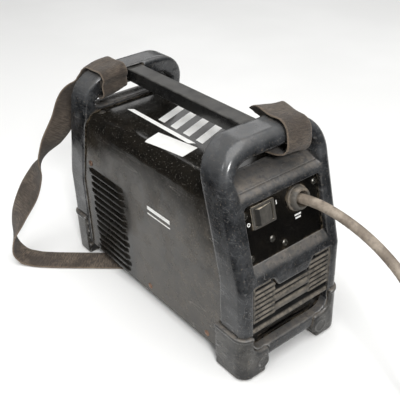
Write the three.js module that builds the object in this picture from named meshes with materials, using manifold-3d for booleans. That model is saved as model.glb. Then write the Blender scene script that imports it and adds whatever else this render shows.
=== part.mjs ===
// Stick (MMA) welding inverter: two moulded end frames with a sheet steel body between them,
// a carrying bar, a webbing shoulder strap and a mains lead.
// Millimetres, +Z up. Both ends are modelled facing +Y; the control end is then turned half a
// turn about Z, so that the mains end looks along +Y and the control end along -Y.
import * as THREE from 'three';
import { mergeVertices } from 'three/addons/utils/BufferGeometryUtils.js';
import Module from 'manifold-3d';

const wasm = await Module();
wasm.setup();

// ---------------------------------------------------------------- driving dimensions
const HALF_WIDTH = 74; // end frames, across X
const HALF_LENGTH = 177; // outer face of an end frame at its foot
const HEIGHT = 275; // top of the arches
const KINK_Z = 125; // the end frames are upright below this height and lean in above it
const LEAN = THREE.MathUtils.degToRad(13.35);
const SLOPE = Math.tan(LEAN);
const FRAME_DEPTH = 40; // of an end frame along Y
const FRAME_FOOT_Z = 15;
const ARCH_RADIUS = 42; // outer corners of an arch
const GAP = 0.3; // between touching parts
const FAR = 400; // beyond every part

const CASE_HALF_WIDTH = 71.5;
const CASE_TOP_Z = 226;
const CASE_FOOT_Z = 19;
const CASE_RADIUS = 20; // shoulders of the cover
const CASE_END = 145; // how far the cover reaches into the end frames
const SHEET = 1.5; // steel sheet

const PANEL_Y = 165; // outer face of an end panel below its bend
const PANEL_BEND_Z = 144;
const PANEL_FOOT_Z = 22;
const PANEL_TOP_Z = 222;
const PANEL_HALF_WIDTH = 60;

const HANDLE_HALF_WIDTH = 11;
const HANDLE_FOOT_Z = 255;
const HANDLE_TOP_Z = 271;
const HANDLE_HALF_LENGTH = 115;

const BUMPER_PROUD = 2.5; // rubber corners, past the faces of the end frame
const BUMPER_TOP_Z = 61;
const BUMPER_WALL = 8; // in front of the end frame's foot
const BUMPER_REACH = 36; // inner end of a rubber corner, from the middle of the machine
const MAINS_BUMPER_DEPTH = 47; // along Y
const CONTROL_BUMPER_DEPTH = 33.5;

const FAN_SIZE = 92;
const FAN_Z = 73;
const BOARD_Z = 78;

const CORD_RADIUS = 5.5;
const CORD_X = -21.5;
const COIL_CENTRE = [-90, 442];
const COIL_RADII = [35, 74];
const COIL_HEIGHT = 22;
const STRAP_WIDTH = 35;
const STRAP_THICKNESS = 2;

// ---------------------------------------------------------------- materials
const finish = (color, roughness, metalness = 0) =>
  new THREE.MeshStandardMaterial({ color, roughness, metalness });
const FRAME_PLASTIC = finish(0x2f3236, 0.5);
const BUMPER_RUBBER = finish(0x36383b, 0.7);
const BLACK_PAINT = finish(0x121212, 0.18);
const PANEL_PAINT = finish(0x0d0d0d, 0.35);
const HANDLE_PAINT = finish(0x242424, 0.35);
const SWITCH_PLASTIC = finish(0x3a3733, 0.5);
const GLAND_PLASTIC = finish(0x55524c, 0.6);
const CORD_RUBBER = finish(0x968c80, 0.85);
const WEBBING = finish(0x5f554e, 0.95);
const ZINC = finish(0x9a9690, 0.35, 0.9);
const BRASS = finish(0xb5924a, 0.35, 0.9);
const COPPER = finish(0xb4683c, 0.35, 0.9);
const ALUMINIUM = finish(0xa9abad, 0.4, 0.9);
const CIRCUIT_BOARD = finish(0x1c4a2c, 0.55);
const FERRITE = finish(0x2b2b2e, 0.6);
const WINDING = finish(0x9c5a2c, 0.45, 0.5);
const CAPACITOR_SLEEVE = finish(0x1d2733, 0.4);
const FAN_PLASTIC = finish(0x141414, 0.5);
const DISPLAY_WINDOW = finish(0x1a0b0b, 0.1);
const LENS_GREEN = finish(0x3f9a4c, 0.3);
const LENS_AMBER = finish(0xd08a24, 0.3);

// ---------------------------------------------------------------- solids and how they join
// A closed body from a geometry, whichever way round its faces are wound.
const solid = (geometry) => {
  geometry.deleteAttribute('normal');
  geometry.deleteAttribute('uv');
  const merged = mergeVertices(geometry, 1e-4);
  const corner = (i) => new THREE.Vector3().fromBufferAttribute(merged.attributes.position, i);
  const triangles = [];
  let volume = 0;
  for (let i = 0; i < merged.index.count; i += 3) {
    const [a, b, c] = merged.index.array.slice(i, i + 3);
    if (a === b || b === c || c === a) continue;
    triangles.push([a, b, c]);
    volume += corner(a).dot(corner(b).cross(corner(c)));
  }
  return new wasm.Manifold(new wasm.Mesh({
    numProp: 3,
    vertProperties: Float32Array.from(merged.attributes.position.array),
    triVerts: Uint32Array.from(triangles.flatMap((t) => (volume < 0 ? t.reverse() : t))),
  }));
};

const surface = (body) => {
  const mesh = body.getMesh();
  const geometry = new THREE.BufferGeometry();
  geometry.setAttribute('position', new THREE.BufferAttribute(mesh.vertProperties, 3));
  geometry.setIndex(new THREE.BufferAttribute(mesh.triVerts, 1));
  geometry.computeVertexNormals();
  return geometry;
};

const union = (...bodies) => bodies.flat().reduce((whole, body) => whole.add(body));
const moved = (body, matrix) => solid(surface(body).applyMatrix4(matrix));
const shifted = (body, x, y, z) => moved(body, new THREE.Matrix4().makeTranslation(x, y, z));

const blockGeometry = (x, y, z) =>
  new THREE.BoxGeometry(x[1] - x[0], y[1] - y[0], z[1] - z[0])
    .translate((x[0] + x[1]) / 2, (y[0] + y[1]) / 2, (z[0] + z[1]) / 2);
const block = (x, y, z) => solid(blockGeometry(x, y, z));

const polygon = (points) => new THREE.Shape(points.map(([a, b]) => new THREE.Vector2(a, b)));

// A rectangle in X and Z whose lower and upper corners have their own radii.
const rounded = (x, z, lowRadius, highRadius = lowRadius) => {
  const quarter = Math.PI / 2;
  const shape = new THREE.Shape();
  shape.absarc(x[1] - lowRadius, z[0] + lowRadius, lowRadius, -quarter, 0);
  shape.absarc(x[1] - highRadius, z[1] - highRadius, highRadius, 0, quarter);
  shape.absarc(x[0] + highRadius, z[1] - highRadius, highRadius, quarter, 2 * quarter);
  shape.absarc(x[0] + lowRadius, z[0] + lowRadius, lowRadius, 2 * quarter, 3 * quarter);
  return shape;
};

// An outline in X and Z pushed along Y from y0 to y1. A bevel rounds off the y1 end only.
const prismY = (shape, y0, y1, bevel = 0, curveSegments = 6) => {
  const length = y1 - y0;
  const geometry = new THREE.ExtrudeGeometry(shape, {
    depth: length, curveSegments, bevelEnabled: bevel > 0, bevelThickness: bevel,
    bevelSize: bevel, bevelOffset: -bevel, bevelSegments: 3,
  });
  const body = solid(geometry.rotateX(Math.PI / 2).translate(0, y1 - bevel, 0));
  return bevel > 0 ? body.intersect(block([-FAR, FAR], [y0, FAR], [-FAR, FAR])) : body;
};

// An outline in Y and Z pushed along X from x0 to x1.
const prismX = (points, x0, x1) => {
  const geometry = new THREE.ExtrudeGeometry(polygon(points), {
    depth: x1 - x0, bevelEnabled: false,
  });
  return solid(geometry.applyMatrix4(
    new THREE.Matrix4().set(0, 0, 1, x0, 1, 0, 0, 0, 0, 1, 0, 0, 0, 0, 0, 1)));
};

// Turned pieces: a profile of [radius, height] points that closes on itself or on the axis.
const turned = (profile, segments = 24) =>
  solid(new THREE.LatheGeometry(profile.map(([r, h]) => new THREE.Vector2(r, h)), segments));
const rod = (radius, y0, y1, segments = 24) =>
  turned([[0, y0], [radius, y0], [radius, y1], [0, y1]], segments);
const tube = (inner, outer, y0, y1, segments = 24) =>
  turned([[inner, y0], [outer, y0], [outer, y1], [inner, y1], [inner, y0]], segments);
const upright = (body) => moved(body, new THREE.Matrix4().makeRotationX(Math.PI / 2));

// Bends an upright end piece at the kink: everything above it leans in towards the middle.
const leaned = (body) => {
  const halves = [[-FAR, KINK_Z], [KINK_Z, FAR]].map((z) => {
    const geometry = surface(body.intersect(block([-FAR, FAR], [-FAR, FAR], z)));
    const position = geometry.attributes.position;
    for (let i = 0; i < position.count; i += 1) {
      const above = Math.max(0, position.getZ(i) - KINK_Z);
      position.setY(i, position.getY(i) - SLOPE * above);
    }
    return solid(geometry);
  });
  return union(halves);
};

// ---------------------------------------------------------------- scene graph
const machine = new THREE.Group();
const mainsEnd = new THREE.Group();
const controlEnd = new THREE.Group();
controlEnd.rotation.z = Math.PI;
machine.add(mainsEnd, controlEnd);

// Panel space: x across, y straight out of the sloping panel, z up along it from its bend.
const panelSpace = () => {
  const space = new THREE.Group();
  space.position.set(0, PANEL_Y, PANEL_BEND_Z);
  space.rotation.x = LEAN;
  space.updateMatrix();
  return space;
};
const mainsPanel = panelSpace();
const controlPanel = panelSpace();
mainsEnd.add(mainsPanel);
controlEnd.add(controlPanel);
const onPanel = (body, x = 0, z = 0) =>
  moved(shifted(body, x, 0, z), mainsPanel.matrix);

const part = (parent, name, body, material, x = 0, y = 0, z = 0) => {
  const mesh = new THREE.Mesh(surface(body), material);
  mesh.name = name;
  mesh.position.set(x, y, z);
  parent.add(mesh);
  return mesh;
};

// ---------------------------------------------------------------- rubber corner bumpers
// A corner bumper is an L seen from the end, wraps the foot of a post and carries the machine.
const bumperBody = (depth, grow) => {
  const outer = HALF_WIDTH + BUMPER_PROUD + grow;
  const post = 59 - grow;
  const low = 34 + grow;
  const top = BUMPER_TOP_Z + grow;
  const reach = BUMPER_REACH - grow;
  const front = prismY(polygon([[reach, -grow], [outer, -grow], [outer, top], [post, top],
    [post, low], [reach, low]]), 100, HALF_LENGTH + BUMPER_PROUD + grow);
  const corner = 16;
  const plan = new THREE.Shape();
  const face = HALF_LENGTH + BUMPER_PROUD + grow;
  const back = face - depth - 2 * grow;
  plan.moveTo(reach, back);
  plan.lineTo(outer, back);
  plan.lineTo(outer, face - corner);
  plan.absarc(outer - corner, face - corner, corner, 0, Math.PI / 2);
  plan.lineTo(reach, face);
  const column = new THREE.ExtrudeGeometry(plan, {
    depth: top + grow, bevelEnabled: false, curveSegments: 5,
  }).translate(0, 0, -grow);
  const core = block([0, CASE_HALF_WIDTH + 2 * GAP - grow],
    [0, HALF_LENGTH + BUMPER_PROUD - BUMPER_WALL - grow], [FRAME_FOOT_Z - GAP + grow, FAR]);
  return front.intersect(solid(column)).subtract(core);
};
const MIRROR = new THREE.Matrix4().makeScale(-1, 1, 1);
const mirrored = (body) => moved(body, MIRROR);

const addBumpers = (end, name, depth) => {
  part(end, `${name}_bumper_left`, bumperBody(depth, 0), BUMPER_RUBBER);
  part(end, `${name}_bumper_right`, mirrored(bumperBody(depth, 0)), BUMPER_RUBBER);
};

// ---------------------------------------------------------------- end frames
const TAB = [[-30.5, 126], [-22, 112], [22, 112], [30.5, 126]];
const OPENING = { halfWidth: 58, low: 36, panelHalfWidth: 54, panelLow: 147, panelHigh: 212 };
const SLOT = { halfWidth: 57, low: 231, high: 255 };

const panelPocket = (out) => {
  const y = PANEL_Y + out;
  const bend = PANEL_BEND_Z;
  const high = PANEL_TOP_Z + 2;
  return prismX([[0, PANEL_FOOT_Z], [y, PANEL_FOOT_Z], [y, bend],
    [y - SLOPE * (high - bend), high], [0, high]],
  -PANEL_HALF_WIDTH - GAP, PANEL_HALF_WIDTH + GAP);
};

const endFrame = (bumperDepth, withTab) => {
  const inner = HALF_LENGTH - FRAME_DEPTH;
  const face = HALF_LENGTH;
  const bar = rounded([-HALF_WIDTH, HALF_WIDTH], [FRAME_FOOT_Z, HEIGHT], 10, ARCH_RADIUS);
  const through = [inner - 1, face + 1];
  let body = prismY(bar, inner, face, 8, 8);
  body = body.subtract(prismY(
    rounded([-SLOT.halfWidth, SLOT.halfWidth], [SLOT.low, SLOT.high], 5, 18), ...through));
  // the top of the upper cross bar falls away outwards
  body = body.subtract(prismX([[inner + 16, SLOT.low], [face + 1, SLOT.low - 9.5],
    [face + 1, SLOT.low + 6], [inner + 16, SLOT.low + 6]], -SLOT.halfWidth, SLOT.halfWidth));
  body = body.subtract(prismY(rounded([-OPENING.panelHalfWidth, OPENING.panelHalfWidth],
    [OPENING.panelLow, OPENING.panelHigh], 4), ...through));
  // dust ledge of the middle bar
  body = body.subtract(prismX([[169.5, OPENING.panelLow], [face + 1, OPENING.panelLow - 11],
    [face + 1, OPENING.panelLow + 1], [169.5, OPENING.panelLow + 1]],
  -OPENING.panelHalfWidth, OPENING.panelHalfWidth));
  body = body.subtract(prismY(
    rounded([-OPENING.halfWidth, OPENING.halfWidth], [OPENING.low, KINK_Z], 6, 1), ...through));
  if (withTab) body = body.add(prismY(polygon(TAB), 168, face));
  body = leaned(body);
  body = body.subtract(panelPocket(GAP));
  // the cover slides into the back of the frame
  const sleeve = CASE_HALF_WIDTH + GAP;
  body = body.subtract(leaned(prismY(rounded([-sleeve, sleeve],
    [CASE_FOOT_Z - GAP, CASE_TOP_Z + GAP], 1, CASE_RADIUS + GAP), 0, CASE_END + GAP)));
  body = body.subtract(block([-HANDLE_HALF_WIDTH - GAP, HANDLE_HALF_WIDTH + GAP],
    [0, HANDLE_HALF_LENGTH + GAP], [HANDLE_FOOT_Z - 1, HANDLE_TOP_Z + GAP]));
  const bumper = bumperBody(bumperDepth, GAP);
  return body.subtract(bumper).subtract(mirrored(bumper));
};

// ---------------------------------------------------------------- ventilation louvre
// Two columns of narrow slats and one of wide ones, set between angular dividers.
const louvre = () => {
  const half = OPENING.halfWidth - GAP;
  const low = 62;
  const lip = 75;
  const face = 175.5;
  let body = prismY(rounded([-half, half], [low, KINK_Z - GAP], 1), PANEL_Y + GAP + 0.2, face);
  body = body.subtract(prismY(polygon(TAB.map(([x, z]) =>
    [x + Math.sign(x) * 1.5, z - 1])), 150, 190));
  const slant = 4; // each gap falls outwards through the thickness
  const gap = (x0, x1, z0, z1) =>
    prismX([[164, z0 + slant], [178, z0 - slant], [178, z1 - slant], [164, z1 + slant]], x0, x1);
  for (let row = 0; row < 7; row += 1) {
    const z = lip + 3 + row * 6.6;
    const inset = 27 + 2.5 * Math.abs((row % 4) - 1.5);
    body = body.subtract(union(gap(inset + 2, 54, z, z + 3), gap(-54, -inset - 2, z, z + 3)));
  }
  for (let row = 0; row < 3; row += 1) {
    const z = lip + 2.5 + row * 12;
    body = body.subtract(gap(-23, 23, z, z + 4));
  }
  return body;
};

// ---------------------------------------------------------------- end panels
const panelSheet = () => {
  const bend = PANEL_BEND_Z;
  const top = PANEL_TOP_Z;
  const foot = PANEL_FOOT_Z + GAP;
  const flange = CASE_END + 1.5;
  const lean = (z) => SLOPE * (z - bend);
  const inner = PANEL_Y - SHEET;
  return prismX([[flange, foot], [PANEL_Y, foot], [PANEL_Y, bend], [PANEL_Y - lean(top), top],
    [inner - lean(top), top], [inner, bend], [inner, foot + SHEET], [flange, foot + SHEET]],
  -PANEL_HALF_WIDTH, PANEL_HALF_WIDTH);
};
const drilled = (sheet, holes) =>
  holes.reduce((body, [x, z, radius]) => body.subtract(onPanel(rod(radius, -9, 9, 16), x, z)),
    sheet);
const panHead = () => union(
  turned([[0, 0.3], [4, 0.3], [4, 1.4], [3, 2.6], [0, 2.6]], 16), rod(2, -7, 1, 16));
const addScrews = (space, name, places) => places.forEach(([x, z], i) => {
  part(space, `${name}_${i + 1}`, panHead(), ZINC, x, 0, z);
});

const SCREW_HOLE = 2.4;

// ---------------------------------------------------------------- mains end
const SWITCH = { x: 26.3, z: 51, halfWidth: 16, halfHeight: 12.7 };
const GLAND = { x: CORD_X, z: 51 };
const MAINS_SCREWS = [[-49.5, 59], [49.5, 57], [49.5, 9], [18.7, 19.2], [2.7, 7.8]];

const mainsPanelSheet = () => {
  const cut = shifted(block([-14.3, 14.3], [-9, 9], [-11.3, 11.3]), SWITCH.x, 0, SWITCH.z);
  let body = panelSheet().subtract(moved(cut, mainsPanel.matrix));
  body = drilled(body, [[GLAND.x, GLAND.z, 10.4],
    ...MAINS_SCREWS.map(([x, z]) => [x, z, SCREW_HOLE])]);
  for (let row = 0; row < 10; row += 1) {
    const z = 31 + row * 9;
    body = body.subtract(block([-42, 42], [155, 172], [z, z + 4.5]));
  }
  return body;
};

// Rocker: two flat faces that meet in a shallow V, with ends that are arcs about the pivot.
const ROCKER_RADIUS = 12.2;
const PIVOT_DEPTH = -3;
const ROCKER_TILT = THREE.MathUtils.degToRad(10);
const rocker = () => {
  const arm = (angle) => [
    ROCKER_RADIUS * Math.cos(angle), PIVOT_DEPTH + ROCKER_RADIUS * Math.sin(angle)];
  const shape = new THREE.Shape();
  const high = THREE.MathUtils.degToRad(27);
  const low = THREE.MathUtils.degToRad(-14);
  shape.moveTo(0, 1.2);
  shape.lineTo(...arm(Math.PI - high));
  shape.absarc(0, PIVOT_DEPTH, ROCKER_RADIUS, Math.PI - high, Math.PI - low);
  shape.lineTo(...arm(low));
  shape.absarc(0, PIVOT_DEPTH, ROCKER_RADIUS, low, high);
  const geometry = new THREE.ExtrudeGeometry(shape, {
    depth: 18.6, bevelEnabled: false, curveSegments: 4,
  });
  // pivot on the part's own origin, tilted so that the +X half stands out
  return solid(geometry.translate(0, -PIVOT_DEPTH, -9.3).rotateZ(ROCKER_TILT));
};

const switchBody = () => union(
  block([-SWITCH.halfWidth, SWITCH.halfWidth], [GAP, 2.4], [-SWITCH.halfHeight, SWITCH.halfHeight]),
  block([-14, 14], [-20, 1], [-11, 11]))
  .subtract(block([-12.6, 12.6], [-9.5, 9], [-9.7, 9.7]));

const gland = () => turned([[6.6, -13], [10, -13], [10, GAP], [14, GAP], [14, 5], [12.2, 9.5],
  [9, 10.5], [6.6, 10.5], [6.6, -13]], 32);
const glandNut = () => {
  const top = -SHEET - GAP;
  return rod(15, top - 5, top, 6).subtract(rod(10.4, top - 6, top + 1, 32));
};

// ---------------------------------------------------------------- control end
const KNOB = { x: -26, z: 36 };
const DISPLAY = { x: 22, z: 50 };
const BUTTON = { x: 22, z: 22 };
const SOCKETS = [{ name: 'plus', x: 30 }, { name: 'minus', x: -30 }];
const SOCKET_Z = 76;
const LEDS = [['led_power', -26, 64, LENS_GREEN], ['led_fault', -12, 64, LENS_AMBER]];
const CONTROL_SCREWS = [[-49.5, 59], [49.5, 59], [-49.5, 9], [49.5, 9]];

const controlPanelSheet = () => {
  const window = block([DISPLAY.x - 17.3, DISPLAY.x + 17.3], [-9, 9],
    [DISPLAY.z - 8.3, DISPLAY.z + 8.3]);
  let body = panelSheet().subtract(moved(window, mainsPanel.matrix));
  body = drilled(body, [[KNOB.x, KNOB.z, 3.8], [BUTTON.x, BUTTON.z, 5],
    ...LEDS.map(([, x, z]) => [x, z, 2.8]),
    ...CONTROL_SCREWS.map(([x, z]) => [x, z, SCREW_HOLE])]);
  SOCKETS.forEach(({ x }) => {
    body = body.subtract(shifted(rod(13.3, 150, 180), x, 0, SOCKET_Z));
  });
  return body;
};

const knob = () => {
  const grip = turned([[0, 2], [15, 2], [15, 6], [13, 17], [11.5, 18.5], [0, 18.5]], 36);
  const bore = rod(3.3, 0, 12, 20);
  const pointer = block([-1, 1], [17.5, 19.3], [1, 12]);
  const flutes = Array.from({ length: 12 }, (_, i) => {
    const angle = ((i + 0.5) / 12) * Math.PI * 2;
    return shifted(rod(2, 5, 20, 10), 15.6 * Math.cos(angle), 0, 15.6 * Math.sin(angle));
  });
  return union(grip, pointer).subtract(bore).subtract(union(flutes));
};
const potentiometer = () => union(
  rod(8, -14, -SHEET - GAP, 24), rod(3.5, -3, 1, 20), rod(3, -3, 11.5, 20));
const modeButton = () => union(rod(4.7, -4, 3, 20), rod(6.5, -6, -3.5, 20));
const displayWindow = () => union(block([-18.5, 18.5], [GAP, 1.8], [-9.5, 9.5]),
  block([-17, 17], [-3, 1], [-8, 8]));
const led = () => union(rod(2.5, -5, 1, 12), turned([[0, 0.5], [2.5, 0.5], [2.2, 2], [1.2, 3],
  [0, 3.3]], 12));

// Bayonet welding socket: insulating collar in front of the panel, brass contact inside it.
const socketBody = () => {
  const collar = turned([[8.4, PANEL_Y - 24], [13, PANEL_Y - 24], [13, PANEL_Y + GAP],
    [19, PANEL_Y + GAP], [19, PANEL_Y + 8], [17.5, PANEL_Y + 11], [8.4, PANEL_Y + 11],
    [8.4, PANEL_Y - 24]], 28);
  const keyway = block([-2.2, 2.2], [PANEL_Y - 2, PANEL_Y + 12], [7, 11.5]);
  return collar.subtract(keyway);
};
const socketContact = () => turned([[0, PANEL_Y - 32], [5, PANEL_Y - 32], [5, PANEL_Y - 25],
  [8, PANEL_Y - 23], [8, PANEL_Y], [4.7, PANEL_Y], [4.7, PANEL_Y - 20], [0, PANEL_Y - 20]], 24);

// ---------------------------------------------------------------- sheet steel body
const VENTS = Array.from({ length: 13 }, (_, row) => (
  { z: 23 + 10 * row, y: [-124 + 1.5 * (row % 3), -45 + 1.8 * ((row * 2) % 3)] }));
const caseCover = () => {
  const skin = (inset) => prismY(rounded([-CASE_HALF_WIDTH + inset, CASE_HALF_WIDTH - inset],
    [CASE_FOOT_Z - inset * 4, CASE_TOP_Z - inset], 0.5, CASE_RADIUS - inset), -160, 160);
  // both ends follow the lean of the end frames
  const silhouette = prismX([[-CASE_END, 0], [CASE_END, 0], [CASE_END, KINK_Z],
    [CASE_END - SLOPE * (240 - KINK_Z), 240], [-CASE_END + SLOPE * (240 - KINK_Z), 240],
    [-CASE_END, KINK_Z]], -FAR, FAR);
  let body = skin(0).subtract(skin(SHEET)).intersect(silhouette);
  VENTS.forEach(({ z, y }) => {
    // a lip pressed out over each slot
    const half = CASE_HALF_WIDTH;
    const lip = prismY(polygon([[half - 0.5, z + 2.4], [half + 2.8, z + 2.4],
      [half + 2.8, z + 4], [half - 0.5, z + 8]]), ...y);
    body = union(body, lip, mirrored(lip))
      .subtract(block([-FAR, FAR], [y[0] + 4, y[1] - 4], [z - 0.4, z + 2.2]));
  });
  return body;
};

const basePan = () => {
  const half = CASE_HALF_WIDTH - SHEET - GAP;
  const low = CASE_FOOT_Z + GAP;
  const outer = block([-half, half], [-CASE_END + 0.6, CASE_END - 0.6], [low, 37]);
  return outer.subtract(block([-half + SHEET, half - SHEET], [-FAR, FAR], [low + SHEET, FAR]));
};

// ---------------------------------------------------------------- carrying bar
const handle = () => {
  const shape = rounded([-HANDLE_HALF_WIDTH, HANDLE_HALF_WIDTH],
    [HANDLE_FOOT_Z, HANDLE_TOP_Z], 2, 1.5);
  return prismY(shape, -HANDLE_HALF_LENGTH, HANDLE_HALF_LENGTH, 0, 3);
};

// ---------------------------------------------------------------- cooling fan
const fanFrame = () => {
  const half = FAN_SIZE / 2;
  let body = prismY(rounded([-half, half], [-half, half], 5), -12.5, 12.5, 0, 3);
  body = body.subtract(rod(43.5, -13, 13, 36));
  const spider = [45, 135, 225, 315].map((degrees) =>
    moved(block([0, 45], [-12.5, -9.5], [-2, 2]),
      new THREE.Matrix4().makeRotationY(THREE.MathUtils.degToRad(degrees))));
  return union(body, rod(17, -12.5, -9, 24), spider);
};
const fanRotor = () => {
  const hub = rod(16, -8, 9, 24);
  const blades = Array.from({ length: 7 }, (_, i) => {
    const twist = new THREE.Matrix4().makeRotationX(THREE.MathUtils.degToRad(35));
    const around = new THREE.Matrix4().makeRotationY((i / 7) * Math.PI * 2);
    return moved(block([14, 41.5], [-1, 1], [-10, 10]), around.multiply(twist));
  });
  return union(hub, blades);
};

// ---------------------------------------------------------------- power electronics
const heatsink = (x0, x1) => {
  const y = [-75, 105];
  const back = block([x0, x1], y, [67, 75]);
  const count = 9;
  const fins = Array.from({ length: count }, (_, i) => {
    const x = x0 + ((x1 - x0 - 2) * i) / (count - 1);
    return block([x, x + 2], y, [24.2, 68]);
  });
  return union(back, fins);
};
const capacitor = () => upright(turned([[0, 0], [15, 0], [15, 40], [14, 41], [0, 41]], 20));
const coreBody = () => block([-28, 28], [-11, 11], [0, 46])
  .subtract(union(block([-20, -8], [-12, 12], [9, 37]), block([8, 20], [-12, 12], [9, 37])));
const coreWinding = () => block([-19.6, 19.6], [-22, 22], [9.4, 36.6])
  .subtract(block([-8.4, 8.4], [-11.4, 11.4], [0, FAR]));
const choke = () => upright(tube(9, 26, 0, 22, 28));

// ---------------------------------------------------------------- ribbons and cords
// A curve through stations [x, y, z], with a direction across at each station.
const strapStations = [
  // [x, y, z, across x, across y, across z]: the loop round the arch at the control end
  [41, -157, 235, 1, 0, -0.24],
  [35, -150.5, 243.5, 1, 0, -0.24],
  [34, -140, 247.6, 1, 0, -0.24],
  [35, -122, 248, 1, 0, -0.24],
  [35, -106, 248, 1, 0, -0.24],
  [35, -100.5, 253, 1, 0, -0.24],
  [35, -100, 263, 1, 0, -0.2],
  [35, -97.8, 271, 1, 0, -0.17],
  [35, -102, 277, 1, 0, -0.15],
  [35, -120, 276.9, 1, 0, -0.15],
  [35, -138, 276.4, 1, 0, -0.16],
  [35.5, -146, 270.8, 1, 0, -0.2],
  [37, -150.8, 263, 1, 0, -0.25],
  // the free run down to the surface, turning half over
  [42, -157.5, 251, 1, 0, -0.25],
  [53.5, -164.5, 239, 1, -0.1, -0.2],
  [63, -169, 224, 1, -0.2, -0.15],
  [73, -173, 199, 1, -0.2, -0.1],
  [92, -180, 170, 0.99, 0.1, 0],
  [104, -186, 151, 0.8, 0.6, 0],
  [114, -190, 130, 0.1, 1, 0],
  [129, -196, 100, -0.32, 0.95, 0],
  [147, -204, 65, -0.05, 1, 0],
  [157, -208, 38, 0.4, 0.92, 0],
  [158, -206, 16, 0.62, 0.78, 0],
  [152, -198, 4.5, 0.64, 0.77, 0],
  [142, -184, 1.6, 0.66, 0.75, 0],
  [128, -168.2, 1.6, 0.67, 0.74, 0],
  [104, -145.8, 1.6, 0.67, 0.74, 0],
  [62, -107.8, 1.6, 0.67, 0.74, 0],
  // under the body and out at the far side
  [22, -71.5, 1.6, 0.67, 0.74, 0],
  [-26, -28.1, 1.6, 0.67, 0.74, 0],
  [-66, 8.1, 1.6, 0.67, 0.74, 0],
  [-92, 31.7, 1.6, 0.68, 0.73, 0],
  [-106, 43, 6, 0.7, 0.71, 0],
  [-113, 50, 17, 0.7, 0.71, 0],
  [-114, 54, 36, 0.65, 0.76, 0],
  [-111, 60, 70, 0.5, 0.86, 0],
  [-106, 62, 115, 0.25, 0.97, 0],
  [-99, 62, 160, -0.05, 0.99, 0],
  [-95, 60, 200, -0.4, 0.9, 0],
  [-83, 61, 234, -0.85, 0.5, -0.1],
  [-60, 70, 256, -1, 0.15, -0.25],
  // the loop round the arch at the mains end
  [-41, 84, 269, -1, 0, -0.2],
  [-33, 100, 277.3, -1, 0, -0.14],
  [-30, 120, 277, -1, 0, -0.12],
  [-28, 138, 276.4, -1, 0, -0.12],
  [-27, 146.2, 270.8, -1, 0, -0.16],
  [-26, 150, 261, -1, 0, -0.2],
  [-25, 150.5, 252, -1, 0, -0.2],
  [-23, 146, 245.5, -1, 0, -0.18],
  [-20, 133, 242, -1, 0, -0.16],
  [-20, 117, 241.5, -1, 0, -0.16],
  [-25, 102.5, 245, -1, 0, -0.18],
  [-31, 98.2, 254, -1, 0, -0.14],
  [-33, 98, 262, -1, 0, -0.12],
];

const ribbon = (stations, width, thickness, samples) => {
  const path = new THREE.CatmullRomCurve3(stations.map((s) => new THREE.Vector3(s[0], s[1], s[2])),
    false, 'centripetal');
  const sides = new THREE.CatmullRomCurve3(stations.map((s) => new THREE.Vector3(s[3], s[4], s[5])),
    false, 'catmullrom', 0.5);
  const corners = [];
  for (let i = 0; i <= samples; i += 1) {
    const t = i / samples;
    const centre = path.getPoint(t);
    const along = path.getTangent(t);
    const across = sides.getPoint(t);
    across.addScaledVector(along, -across.dot(along)).normalize().multiplyScalar(width / 2);
    const up = new THREE.Vector3().crossVectors(along, across).normalize()
      .multiplyScalar(thickness / 2);
    corners.push([[1, 1], [-1, 1], [-1, -1], [1, -1]].map(([a, b]) =>
      centre.clone().addScaledVector(across, a).addScaledVector(up, b)));
  }
  const positions = corners.flat().flatMap((v) => [v.x, v.y, v.z]);
  const index = [0, 2, 1, 0, 3, 2];
  for (let i = 0; i < samples; i += 1) {
    for (let j = 0; j < 4; j += 1) {
      const a = i * 4 + j;
      const b = i * 4 + ((j + 1) % 4);
      index.push(a, b, b + 4, a, b + 4, a + 4);
    }
  }
  const last = samples * 4;
  index.push(last, last + 1, last + 2, last, last + 2, last + 3);
  const geometry = new THREE.BufferGeometry();
  geometry.setAttribute('position', new THREE.Float32BufferAttribute(positions, 3));
  geometry.setIndex(index);
  geometry.computeVertexNormals();
  return geometry;
};

// Mains lead: out along the gland, then down under its own weight to the surface and round
// into the coil, whose lowest outer turn it joins.
const cordRoute = [
  [CORD_X, 154.2, 193.9], [CORD_X, 170, 197.6], [CORD_X, 188, 200], [CORD_X, 208, 200],
  [CORD_X, 230, 197.4], [CORD_X, 252, 192.2], [CORD_X, 272, 184.4], [CORD_X, 291, 173.6],
  [CORD_X, 308, 159], [CORD_X, 321.5, 141], [CORD_X, 331, 120], [CORD_X, 337, 97],
  [CORD_X, 341.5, 73], [CORD_X, 346, 50], [CORD_X, 353, 30], [CORD_X, 364, 15],
  [CORD_X, 379, 7.4], [CORD_X, 391, 5.8], [CORD_X, 400, 5.7],
];

const roundTube = (route, radius, sides, steps) => {
  const curve = new THREE.CatmullRomCurve3(route.map((p) => new THREE.Vector3(...p)), false,
    'centripetal');
  const section = new THREE.Shape();
  section.absarc(0, 0, radius, 0, Math.PI * 2);
  return new THREE.ExtrudeGeometry(section, {
    steps, extrudePath: curve, bevelEnabled: false, curveSegments: sides,
  });
};

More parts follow.
